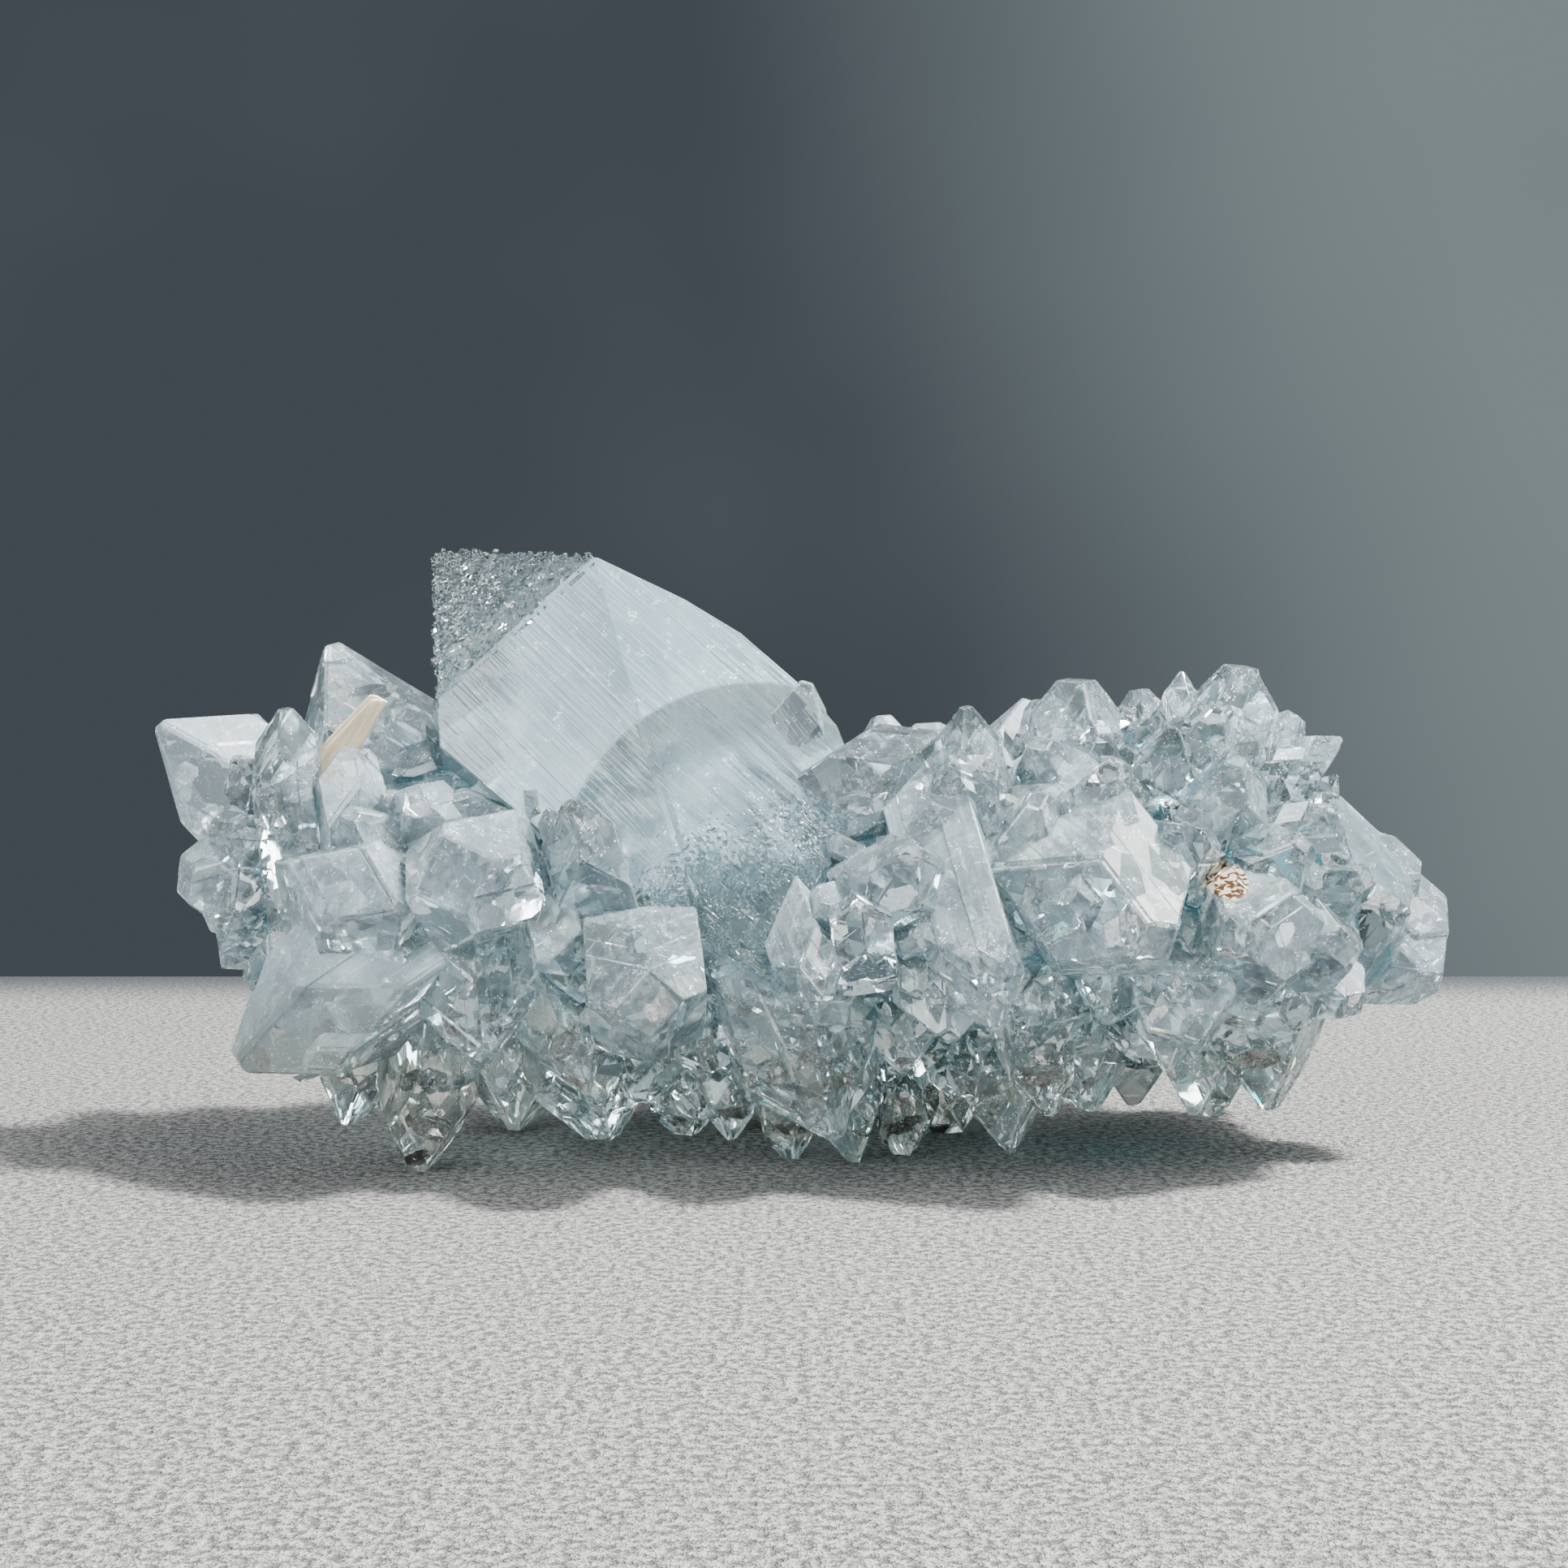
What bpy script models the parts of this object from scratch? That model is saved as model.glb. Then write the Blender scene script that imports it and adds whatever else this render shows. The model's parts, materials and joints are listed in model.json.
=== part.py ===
"""An apophyllite cluster: a long growth of clear tetragonal crystals, with a small stilbite blade on it.

The crystals grew together, so they are one solid, `apophyllite_cluster`. The blade is another mineral and has
a solid of its own, `stilbite_blade`, in a socket between the crystals. X runs along the cluster, Y from its
front to its back and Z up. The origin is below the middle of the cluster, on the surface that it rests on.
"""

import math
import random

import bmesh
import bpy
import numpy as np
from mathutils import Matrix, Vector

MM = 0.001

# An apophyllite crystal has four prism faces, four pyramid faces over the prism's edges and one basal face.
AXIAL_RATIO = 1.76  # c over a, so that a pyramid face leans 60.4 degrees from the base
PYRAMID_LEAN = math.atan(AXIAL_RATIO)
TIP_UNEVENNESS = 0.09  # how far a pyramid face may stand off, as a share of the width
PRISM_UNEVENNESS = 0.12  # the same for the sides of the prism

# The mass that the crystals' roots make together, as (x, y, z, radius) in mm from the left end to the right.
ROOT_STATIONS = (
    (-42.0, 0.0, 23.5, 6.5),
    (-32.0, 0.0, 21.5, 10.0),
    (-16.0, 0.0, 19.0, 11.0),
    (0.0, 0.0, 18.0, 11.0),
    (14.0, 0.0, 19.0, 11.5),
    (28.0, 0.0, 21.5, 12.5),
    (38.0, 0.0, 20.0, 10.0),
    (45.0, 0.0, 18.0, 6.0),
)
ROOT_DEPTH = 1.22  # how much deeper than tall that mass is

# The crystals that give the cluster its outline and its front, each as
# tip (mm), the way it points, width (mm), spin (degrees), blunt (share of the width), length (mm).
MAIN_CRYSTALS = (
    # the left end
    ((-49.1, -5.0, 33.8), (-0.70, -0.46, 0.60), 9.8, 0, 0.03, 24),
    ((-45.2, 6.0, 34.1), (-0.20, 0.30, 0.93), 6.5, 20, 0.28, 20),
    ((-38.6, -9.5, 35.2), (-0.06, -0.24, 0.97), 5.2, 8, 0.08, 22),
    ((-37.6, 6.0, 40.3), (-0.36, 0.10, 0.93), 12.0, 90, 0.02, 28),
    ((-46.7, -7.0, 22.5), (-0.85, -0.52, 0.05), 7.5, 30, 0.30, 20),
    ((-42.6, 0.0, 13.4), (-0.66, 0.05, -0.75), 5.5, 10, 0.10, 20),
    ((-28.5, -20.0, 21.0), (0.42, -0.90, 0.02), 8.0, 15, 0.06, 22),
    ((-24.3, -22.0, 23.6), (-0.10, -0.98, 0.12), 9.0, 20, 0.34, 24),
    ((-41.4, -14.0, 9.9), (-0.77, -0.36, -0.52), 9.8, 35, 0.10, 32),
    ((-23.0, -15.5, 10.2), (0.15, -0.62, -0.77), 8.0, 10, 0.12, 22),
    ((-39.4, -1.0, 6.2), (-0.55, -0.05, -0.83), 5.0, 30, 0.10, 18),
    ((-35.2, -4.0, 3.2), (-0.25, -0.10, -0.96), 6.4, 5, 0.05, 20),
    ((-29.0, -8.0, 0.2), (-0.10, -0.15, -0.98), 5.8, 12, 0.03, 22),
    ((-21.8, -8.0, 4.0), (0.02, -0.12, -0.99), 4.4, 40, 0.06, 20),
    ((-16.2, -12.0, 6.8), (0.38, -0.34, -0.86), 4.6, 0, 0.05, 20),
    ((-17.0, -17.5, 28.4), (-0.22, -0.52, 0.82), 5.8, 30, 0.06, 20),
    ((-33.0, -14.0, 27.5), (-0.30, -0.80, 0.52), 7.0, 25, 0.10, 20),
    ((-33.4, -11.2, 32.0), (0.05, -0.36, 0.93), 4.4, 20, 0.20, 18),
    ((-19.0, -19.0, 17.2), (-0.15, -0.90, -0.40), 5.2, 30, 0.10, 20),
    # below the big crystal and along the front
    ((-10.8, -24.0, 14.6), (0.10, -0.98, -0.14), 8.8, 4, 0.28, 26),
    ((-15.4, -2.0, 2.0), (0.20, 0.10, -0.97), 9.0, 20, 0.16, 22),
    ((-9.4, 0.0, 1.9), (0.05, 0.05, -1.00), 6.0, 25, 0.20, 20),
    ((-5.6, -3.5, 2.0), (0.05, -0.15, -0.98), 4.6, 30, 0.05, 20),
    ((-1.0, -3.0, 0.0), (0.12, -0.12, -0.98), 4.2, 35, 0.05, 22),
    ((4.0, -4.0, 0.1), (0.16, -0.15, -0.97), 5.4, 5, 0.05, 22),
    ((7.9, -1.0, 0.0), (0.02, 0.05, -1.00), 3.8, 40, 0.12, 22),
    ((2.4, -14.0, 4.2), (0.42, -0.42, -0.80), 9.4, 30, 0.05, 26),
    ((3.6, -23.0, 21.9), (-0.06, -0.84, 0.54), 4.4, 10, 0.05, 10),
    ((1.5, -21.5, 15.0), (0.20, -0.86, -0.46), 4.2, 50, 0.10, 20),
    ((7.5, -20.5, 25.5), (0.15, -0.84, 0.52), 5.4, 15, 0.10, 20),
    ((10.0, -19.0, 12.0), (0.10, -0.80, -0.60), 6.0, 0, 0.12, 20),
    ((13.2, -20.0, 12.8), (0.20, -0.58, -0.79), 5.6, 35, 0.06, 22),
    ((17.8, -14.0, 5.6), (0.18, -0.36, -0.91), 4.8, 15, 0.06, 22),
    ((15.4, -8.0, 1.6), (0.10, -0.20, -0.97), 5.4, 5, 0.05, 22),
    ((12.2, -2.0, 2.6), (-0.05, 0.00, -1.00), 3.0, 40, 0.05, 20),
    # the shoulder right of the big crystal
    ((0.1, -8.0, 37.1), (0.20, -0.34, 0.92), 4.4, 5, 0.08, 16),
    ((6.0, 3.0, 34.5), (-0.10, 0.10, 0.99), 6.2, 15, 0.16, 20),
    ((10.4, 8.0, 33.8), (0.05, 0.20, 0.98), 6.6, 30, 0.26, 20),
    ((9.8, -10.0, 33.2), (0.80, -0.28, 0.52), 5.6, 10, 0.10, 22),
    ((11.6, -12.0, 35.3), (-0.08, -0.22, 0.97), 5.2, 5, 0.08, 24),
    ((17.6, 5.0, 35.9), (0.26, 0.05, 0.96), 5.4, 45, 0.02, 20),
    ((21.0, -2.0, 37.3), (0.00, -0.10, 0.99), 6.8, 10, 0.26, 22),
    ((16.5, -16.5, 28.5), (-0.10, -0.72, 0.69), 6.4, 25, 0.12, 20),
    ((22.0, -16.0, 31.5), (0.10, -0.62, 0.78), 5.0, 0, 0.12, 18),
    # the right half
    ((29.4, 0.0, 38.0), (0.05, 0.00, 1.00), 3.0, 15, 0.05, 16),
    ((26.4, 2.0, 36.6), (-0.10, 0.10, 0.99), 4.4, 40, 0.20, 16),
    ((33.6, -2.0, 38.4), (0.10, -0.12, 0.99), 6.6, 20, 0.24, 22),
    ((38.2, 0.0, 34.6), (0.55, 0.00, 0.83), 5.0, 10, 0.18, 20),
    ((41.4, -2.0, 32.8), (0.86, -0.05, 0.50), 3.2, 40, 0.03, 18),
    ((41.3, -2.0, 26.6), (0.78, -0.14, 0.60), 8.4, 15, 0.30, 24),
    ((47.2, -3.0, 21.9), (0.96, -0.20, -0.10), 5.8, 10, 0.26, 20),
    ((49.5, -2.0, 18.0), (0.98, -0.12, -0.04), 8.4, 5, 0.34, 26),
    ((48.8, -4.0, 15.6), (0.96, -0.20, -0.14), 6.4, 5, 0.34, 26),
    ((41.6, -4.0, 11.8), (0.34, -0.20, -0.92), 4.2, 0, 0.14, 18),
    ((30.0, -20.5, 19.5), (-0.36, -0.92, 0.04), 8.4, 40, 0.16, 24),
    ((38.5, -16.0, 18.0), (0.46, -0.88, -0.06), 8.2, 10, 0.20, 22),
    ((24.0, -24.0, 19.0), (0.30, -0.90, -0.30), 11.0, 35, 0.16, 26),
    ((19.0, -23.0, 22.0), (-0.25, -0.96, 0.10), 6.6, 5, 0.14, 22),
    ((27.6, -20.0, 12.8), (0.05, -0.95, -0.30), 6.8, 20, 0.18, 22),
    ((29.2, -8.0, 4.6), (-0.05, -0.22, -0.97), 4.6, 45, 0.04, 20),
    ((31.6, -3.0, 3.8), (0.08, -0.05, -0.99), 7.4, 15, 0.16, 20),
    ((34.8, -9.0, 5.2), (0.04, -0.14, -0.99), 9.6, 0, 0.06, 24),
    ((22.0, -2.0, 4.2), (0.10, 0.10, -0.99), 7.0, 30, 0.14, 20),
    ((31.0, -14.5, 31.5), (0.10, -0.62, 0.78), 6.0, 15, 0.16, 20),
    ((26.0, -18.5, 26.8), (-0.10, -0.86, 0.50), 4.8, 40, 0.12, 18),
    ((35.5, -16.0, 25.5), (0.35, -0.80, 0.48), 6.6, 0, 0.14, 20),
    # feet at the back; the broad one lost its tip along the basal cleavage
    ((-24.0, 11.0, -0.4), (-0.10, 0.20, -0.97), 6.6, 10, 0.05, 22),
    ((-2.0, 13.0, -0.4), (0.05, 0.22, -0.97), 5.8, 30, 0.05, 22),
    ((12.5, 11.0, -3.6), (0.00, 0.00, -1.00), 6.4, 20, 0.02, 24),
    ((27.0, 10.0, 2.5), (0.10, 0.15, -0.98), 7.0, 5, 0.08, 22),
)
FOOT_LEVEL = 0.45  # mm; the tips that the cluster rests on are worn flat at this height of the table above

# The big crystal, as the faces that bound it: a point on each (mm) and the way it looks.
BIG_CRYSTAL_FACES = (
    ((-29.1, 2.6, 47.0), (-1.00, -0.10, -0.05)),  # left side
    ((-15.9, -6.2, 46.5), (0.07, 0.00, 1.00)),  # top
    ((-15.9, -6.2, 46.2), (-0.48, -0.76, 0.62)),  # etched corner
    ((-15.9, -6.2, 46.2), (-0.16, -0.94, 0.29)),  # front, left of the ridge
    ((-15.9, -6.2, 46.2), (0.20, -0.90, 0.39)),  # front, right of the ridge
    ((-12.3, -6.0, 44.9), (0.43, 0.06, 0.90)),  # the curved shoulder, in five steps
    ((-7.0, -6.0, 42.1), (0.52, 0.06, 0.86)),
    ((-2.8, -6.0, 39.0), (0.66, 0.06, 0.75)),
    ((0.8, -6.0, 35.5), (0.75, 0.06, 0.66)),
    ((2.7, -6.0, 32.8), (0.93, 0.04, 0.36)),
    ((-21.2, -11.3, 27.7), (-0.66, -0.28, -0.70)),  # lower left side
    ((-8.5, -15.0, 18.9), (-0.53, -0.25, -0.81)),  # ledge below the front
    ((-24.0, 12.0, 36.0), (-0.36, 0.92, 0.14)),  # back
    ((-8.0, 14.0, 34.0), (0.45, 0.86, 0.22)),
    ((-10.0, 12.0, 24.0), (0.10, 0.60, -0.80)),  # lower back, where it meets the cluster
    ((1.0, -12.5, 22.5), (0.85, -0.50, -0.15)),  # the end that runs into the cluster
)
BIG_CRYSTAL_CORNER = 2  # the row of the etched corner's face
CORNER_PLANE = ((-16.2, -6.2, 46.6), (-0.683, 0.0, 0.731))  # beyond it the crystal is only a plate
CORNER_PLATE = 7.0  # mm; how thick that plate is
BIG_CRYSTAL_BLOCK = 34.0  # mm; half the side of the block that the faces are cut from
BIG_CRYSTAL_CENTRE = (-12.0, 0.0, 32.0)
BIG_CRYSTAL_MARGIN = 4.2  # mm; covering crystals keep this far off its faces

# The crystals that cover the rest, in rounds of (spacing, widths, how far they stand out of the roots) in mm.
COVER_ROUNDS = (
    (9.5, (7.5, 10.5), (7.0, 10.0)),
    (6.6, (5.0, 7.0), (5.0, 8.0)),
    (4.9, (4.2, 5.4), (3.0, 5.0)),
)
COVER_TRIES = 900  # spots tried in each round
COVER_SEED = 11
BROAD_ROUNDS_FROM = 0.30  # all rounds but the last keep to the ends and to normals with at least this much y
LEAN = 0.28  # how far a covering crystal leans off the normal
COVER_CLEARANCE = 0.17  # how much the room below rises towards the front, so that the front stands clear

# The room that the covering crystals keep to, seen from the front, as (x, lowest z, highest z) in mm.
COVER_ROOM = (
    (-48.0, 21.0, 27.0),
    (-44.0, 15.0, 32.0),
    (-39.0, 7.0, 33.5),
    (-33.0, 4.0, 34.0),
    (-28.0, 2.8, 34.0),
    (-8.0, 2.4, 32.0),
    (3.0, 1.8, 32.5),
    (16.0, 2.2, 33.0),
    (22.0, 3.6, 35.5),
    (35.0, 4.6, 36.5),
    (38.0, 7.0, 33.5),
    (42.0, 12.0, 25.0),
    (45.0, 14.0, 20.0),
)

# The stilbite blade.
BLADE_SIZE = (2.5, 1.2, 7.4)  # mm, width, thickness and length
BLADE_FOOT = (-36.0, -8.2, 29.9)
BLADE_AIM = (0.50, 0.06, 0.86)
BLADE_SPIN = 100
BLADE_GAP = 0.3  # mm, all round

GOLDEN_TURN = math.pi * (3 - math.sqrt(5))


def clear_scene():
    for obj in list(bpy.data.objects):
        bpy.data.objects.remove(obj)


def make_collection(name):
    collection = bpy.data.collections.new(name)
    bpy.context.scene.collection.children.link(collection)
    return collection


def make_material(name, colour, roughness, alpha=1.0):
    material = bpy.data.materials.new(name)
    material.use_nodes = True
    shader = material.node_tree.nodes["Principled BSDF"]
    shader.inputs["Base Color"].default_value = (*colour, 1.0)
    shader.inputs["Roughness"].default_value = roughness
    shader.inputs["Metallic"].default_value = 0.0
    shader.inputs["Transmission Weight"].default_value = 1.0 - alpha
    return material


def add_object(name, mesh, collection, is_cutter=False):
    obj = bpy.data.objects.new(name, mesh)
    collection.objects.link(obj)
    if is_cutter:
        obj.hide_render = True
        obj.display_type = "WIRE"
    return obj


def cut_face(bm, point, normal):
    """Cuts away what lies outside the plane, and closes the cut with one flat face."""
    geometry = bm.verts[:] + bm.edges[:] + bm.faces[:]
    cut = bmesh.ops.bisect_plane(
        bm, geom=geometry, dist=1e-7, plane_co=point, plane_no=normal, clear_outer=True
    )
    rim = [e for e in cut["geom_cut"] if isinstance(e, bmesh.types.BMEdge)]
    if len(rim) > 2:
        bmesh.ops.edgenet_fill(bm, edges=rim)


def block(size, centre):
    """A box of this size (mm), as a new bmesh."""
    bm = bmesh.new()
    bmesh.ops.create_cube(bm, size=1.0)
    bmesh.ops.scale(bm, vec=Vector(size) * MM, verts=bm.verts)
    bmesh.ops.translate(bm, vec=Vector(centre) * MM, verts=bm.verts)
    return bm


def finish_mesh(bm, name):
    bmesh.ops.recalc_face_normals(bm, faces=bm.faces)
    mesh = bpy.data.meshes.new(name)
    bm.to_mesh(mesh)
    bm.free()
    return mesh


def place(tip, aim, spin):
    """The matrix that takes a crystal from +Z, tip at the origin, to its place."""
    turn = Vector(aim).to_track_quat("Z", "Y").to_matrix().to_4x4()
    return Matrix.Translation(Vector(tip) * MM) @ turn @ Matrix.Rotation(math.radians(spin), 4, "Z")


def crystal_mesh(name, width, blunt, length, chance):
    """One tetragonal crystal with its tip at the origin, pointing along +Z."""
    sides = [width * (1 + chance.uniform(-PRISM_UNEVENNESS, PRISM_UNEVENNESS)) for _ in "xy"]
    bm = block((*sides, length), (0, 0, -length / 2))
    for quarter in range(4):
        azimuth = math.radians(45 + 90 * quarter)
        normal = Vector((
            math.cos(azimuth) * math.sin(PYRAMID_LEAN),
            math.sin(azimuth) * math.sin(PYRAMID_LEAN),
            math.cos(PYRAMID_LEAN),
        ))
        off = chance.uniform(-TIP_UNEVENNESS, 0.0) * width * MM
        cut_face(bm, normal * off, normal)
    top = max(vert.co.z for vert in bm.verts) - blunt * width * MM
    cut_face(bm, (0, 0, top), (0, 0, 1))
    bmesh.ops.translate(bm, vec=(0, 0, -top), verts=bm.verts)
    return finish_mesh(bm, name)


def add_crystal(name, tip, aim, width, spin, blunt, length, chance, collection):
    obj = add_object(name, crystal_mesh(name, width, blunt, length, chance), collection, is_cutter=True)
    obj.matrix_world = place(tip, aim, spin)
    return obj


def add_main_crystals(collection, chance):
    for number, row in enumerate(MAIN_CRYSTALS):
        add_crystal(f"main_crystal_{number:02d}", *row, chance, collection)


def add_big_crystal(collection):
    """The big crystal, in two solids that the union joins: its body, and the plate that ends in its clear corner."""
    point, normal = BIG_CRYSTAL_FACES[BIG_CRYSTAL_CORNER]
    out = Vector(normal).normalized()
    last_planes = {
        "big_crystal": CORNER_PLANE,
        "big_crystal_corner": (Vector(point) - out * CORNER_PLATE, -out),
    }
    side = 2 * BIG_CRYSTAL_BLOCK
    for name, last_plane in last_planes.items():
        bm = block((side, side, side), BIG_CRYSTAL_CENTRE)
        for point, normal in (*BIG_CRYSTAL_FACES, last_plane):
            cut_face(bm, Vector(point) * MM, Vector(normal).normalized())
        add_object(name, finish_mesh(bm, name), collection, is_cutter=True)


def roots_at(x):
    """The middle and the radius (mm) of the roots at x."""
    rows = np.array(ROOT_STATIONS)
    return [float(np.interp(x, rows[:, 0], rows[:, column])) for column in (1, 2, 3)]


def add_roots(collection):
    """The roots as a thick curve with a radius at each station, widened in depth and made a mesh."""
    data = bpy.data.curves.new("roots", "CURVE")
    data.dimensions = "3D"
    data.bevel_depth = MM
    data.bevel_resolution = 3
    data.use_fill_caps = True
    spline = data.splines.new("POLY")
    spline.points.add(len(ROOT_STATIONS) - 1)
    for point, (x, y, z, radius) in zip(spline.points, ROOT_STATIONS):
        point.co = (x * MM, y * MM, z * MM, 1)
        point.radius = radius
    curve = add_object("root_curve", data, collection, is_cutter=True)
    graph = bpy.context.evaluated_depsgraph_get()
    mesh = bpy.data.meshes.new_from_object(curve.evaluated_get(graph))
    bpy.data.objects.remove(curve)
    bm = bmesh.new()
    bm.from_mesh(mesh)
    bpy.data.meshes.remove(mesh)
    bmesh.ops.remove_doubles(bm, verts=bm.verts, dist=1e-6)
    bmesh.ops.scale(bm, vec=(1, ROOT_DEPTH, 1), verts=bm.verts)
    return add_object("roots", finish_mesh(bm, "roots"), collection)


def roots_spot(share, turn):
    """A point on the roots (mm) and its normal: share runs from left to right, turn goes round."""
    left, right = ROOT_STATIONS[0], ROOT_STATIONS[-1]
    x = left[0] + share * (right[0] - left[0])
    y, z, radius = roots_at(x)
    ahead = roots_at(x + 0.5)[2] - roots_at(x - 0.5)[2]
    around = Vector((-ahead, math.sin(turn) / ROOT_DEPTH, math.cos(turn)))
    point = Vector((x, y + radius * ROOT_DEPTH * math.sin(turn), z + radius * math.cos(turn)))
    return point, around.normalized()


def end_spot(side, chance):
    """A point on the end of the roots at this side, -1 left or 1 right, and its normal."""
    x, y, z, radius = ROOT_STATIONS[0] if side < 0 else ROOT_STATIONS[-1]
    turn, out = chance.uniform(0, math.tau), math.sqrt(chance.random())
    across = Vector((0, ROOT_DEPTH * math.sin(turn), math.cos(turn))) * out
    return Vector((x, y, z)) + across * radius, (Vector((side, 0, 0)) + across).normalized()


def has_room(tip):
    """Whether a covering crystal may end here (mm)."""
    rows = np.array(COVER_ROOM)
    outside = max((tip - Vector(point)).dot(Vector(normal)) for point, normal in BIG_CRYSTAL_FACES)
    if outside < BIG_CRYSTAL_MARGIN or not rows[0, 0] < tip.x < rows[-1, 0]:
        return False
    low = np.interp(tip.x, rows[:, 0], rows[:, 1]) + COVER_CLEARANCE * max(0.0, -tip.y)
    return low < tip.z < np.interp(tip.x, rows[:, 0], rows[:, 2])


def cover_roots(collection, chance):
    """Covers the roots between the main crystals, broad crystals first, with no two tips close together."""
    tips = [Vector(row[0]) for row in MAIN_CRYSTALS]
    count = 0
    for round_number, (spacing, widths, reaches) in enumerate(COVER_ROUNDS):
        for attempt in range(COVER_TRIES):
            at_end = attempt % 8 == 0
            if at_end:
                spot, normal = end_spot(-1 if attempt % 16 else 1, chance)
            else:
                spot, normal = roots_spot(chance.random(), attempt * GOLDEN_TURN)
            reach = chance.uniform(*reaches)
            aim = normal + Vector([chance.uniform(-LEAN, LEAN) for _ in "xyz"])
            tip = spot + aim.normalized() * reach
            is_broad = round_number < len(COVER_ROUNDS) - 1
            if is_broad and normal.y < BROAD_ROUNDS_FROM and not at_end:
                continue
            if not has_room(tip) or min((tip - other).length for other in tips) < spacing:
                continue
            tips.append(tip)
            width = chance.uniform(*widths)
            add_crystal(
                f"cover_crystal_{count:03d}", tip, aim, width, chance.uniform(0, 90),
                chance.choice((0.04, 0.08, 0.16, 0.3)), reach + 0.9 * width, chance, collection,
            )
            count += 1
    return count


def keep_outer_shell(bm):
    """Removes sealed pockets between the crystals: all loose parts but the widest."""
    left, parts = set(bm.verts), []
    while left:
        stack = [left.pop()]
        part = set(stack)
        while stack:
            for edge in stack.pop().link_edges:
                for vert in edge.verts:
                    if vert in left:
                        left.discard(vert)
                        part.add(vert)
                        stack.append(vert)
        parts.append(part)
    widest = max(parts, key=lambda part: max(v.co.x for v in part) - min(v.co.x for v in part))
    bmesh.ops.delete(bm, geom=[v for v in bm.verts if v not in widest], context="VERTS")


def blade_mesh(name, grow):
    """The stilbite blade: a thin tablet with a roof-shaped end, grown on all sides by this much (mm)."""
    width, thickness, length = BLADE_SIZE
    bm = block((width + 2 * grow, thickness + 2 * grow, length + 2 * grow), (0, 0, length / 2))
    for side in (-1, 1):
        normal = Vector((side * 0.78, 0, 0.62))
        corner = Vector((side * width * 0.18, 0, length)) * MM
        cut_face(bm, corner + normal * grow * MM, normal)
    mesh = finish_mesh(bm, name)
    mesh.transform(place(BLADE_FOOT, BLADE_AIM, BLADE_SPIN))
    return mesh


def fuse(roots, crystals):
    """The roots and their crystals as one mesh, without sealed pockets, worn flat at the feet."""
    union = roots.modifiers.new("crystals", "BOOLEAN")
    union.operation = "UNION"
    union.operand_type = "COLLECTION"
    union.collection = crystals
    union.solver = "EXACT"
    graph = bpy.context.evaluated_depsgraph_get()
    mesh = bpy.data.meshes.new_from_object(roots.evaluated_get(graph))
    bpy.data.objects.remove(roots)
    bm = bmesh.new()
    bm.from_mesh(mesh)
    bpy.data.meshes.remove(mesh)
    keep_outer_shell(bm)
    cut_face(bm, Vector((0, 0, FOOT_LEVEL * MM)), Vector((0, 0, -1)))
    bmesh.ops.triangulate(bm, faces=bm.faces)
    return finish_mesh(bm, "apophyllite_cluster")


def home(mesh):
    """The move that brings the middle of the mesh's footprint to the origin."""
    points = np.array([v.co for v in mesh.vertices])
    low, high = points.min(axis=0), points.max(axis=0)
    return Matrix.Translation((-(low[0] + high[0]) / 2, -(low[1] + high[1]) / 2, -low[2]))


def build():
    clear_scene()
    chance = random.Random(COVER_SEED)
    specimen = make_collection("apophyllite_specimen")
    cutters = make_collection("growth_cutters")
    crystals = make_collection("crystals")
    add_big_crystal(crystals)
    add_main_crystals(crystals, chance)
    cover_roots(crystals, chance)
    cluster_mesh = fuse(add_roots(specimen), crystals)
    for obj in list(crystals.objects):
        bpy.data.objects.remove(obj)
    bpy.data.collections.remove(crystals)

    move = home(cluster_mesh)
    cluster_mesh.transform(move)
    cluster = add_object("apophyllite_cluster", cluster_mesh, specimen)
    cluster.data.materials.append(make_material("apophyllite", (0.80, 0.88, 0.90), 0.06, alpha=0.25))

    blade = add_object("stilbite_blade", blade_mesh("stilbite_blade", 0.0), specimen)
    blade.data.transform(move)
    blade.data.materials.append(make_material("stilbite", (0.83, 0.69, 0.55), 0.32))
    socket = add_object("blade_socket", blade_mesh("blade_socket", BLADE_GAP), cutters, is_cutter=True)
    socket.data.transform(move)
    cut = cluster.modifiers.new("blade_socket", "BOOLEAN")
    cut.operation = "DIFFERENCE"
    cut.object = socket
    cut.solver = "EXACT"


build()
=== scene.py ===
"""An apophyllite cluster: clear to milky crystals on a long growth, with a stilbite blade and an iron stain.

Laid out as an add-on and run as a script. X runs along the cluster, Y from its front to its back and Z up.
The crystals that the solid part has stand here in the same places, with their growth steps, worn edges,
etching, grooves and the small crystals that fill the gaps.
"""

import json
import math
import random
from types import SimpleNamespace

import bmesh
import bpy
import numpy as np
from bpy.props import FloatProperty, FloatVectorProperty, IntProperty, PointerProperty
from mathutils import Matrix, Vector
from mathutils.bvhtree import BVHTree

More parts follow.
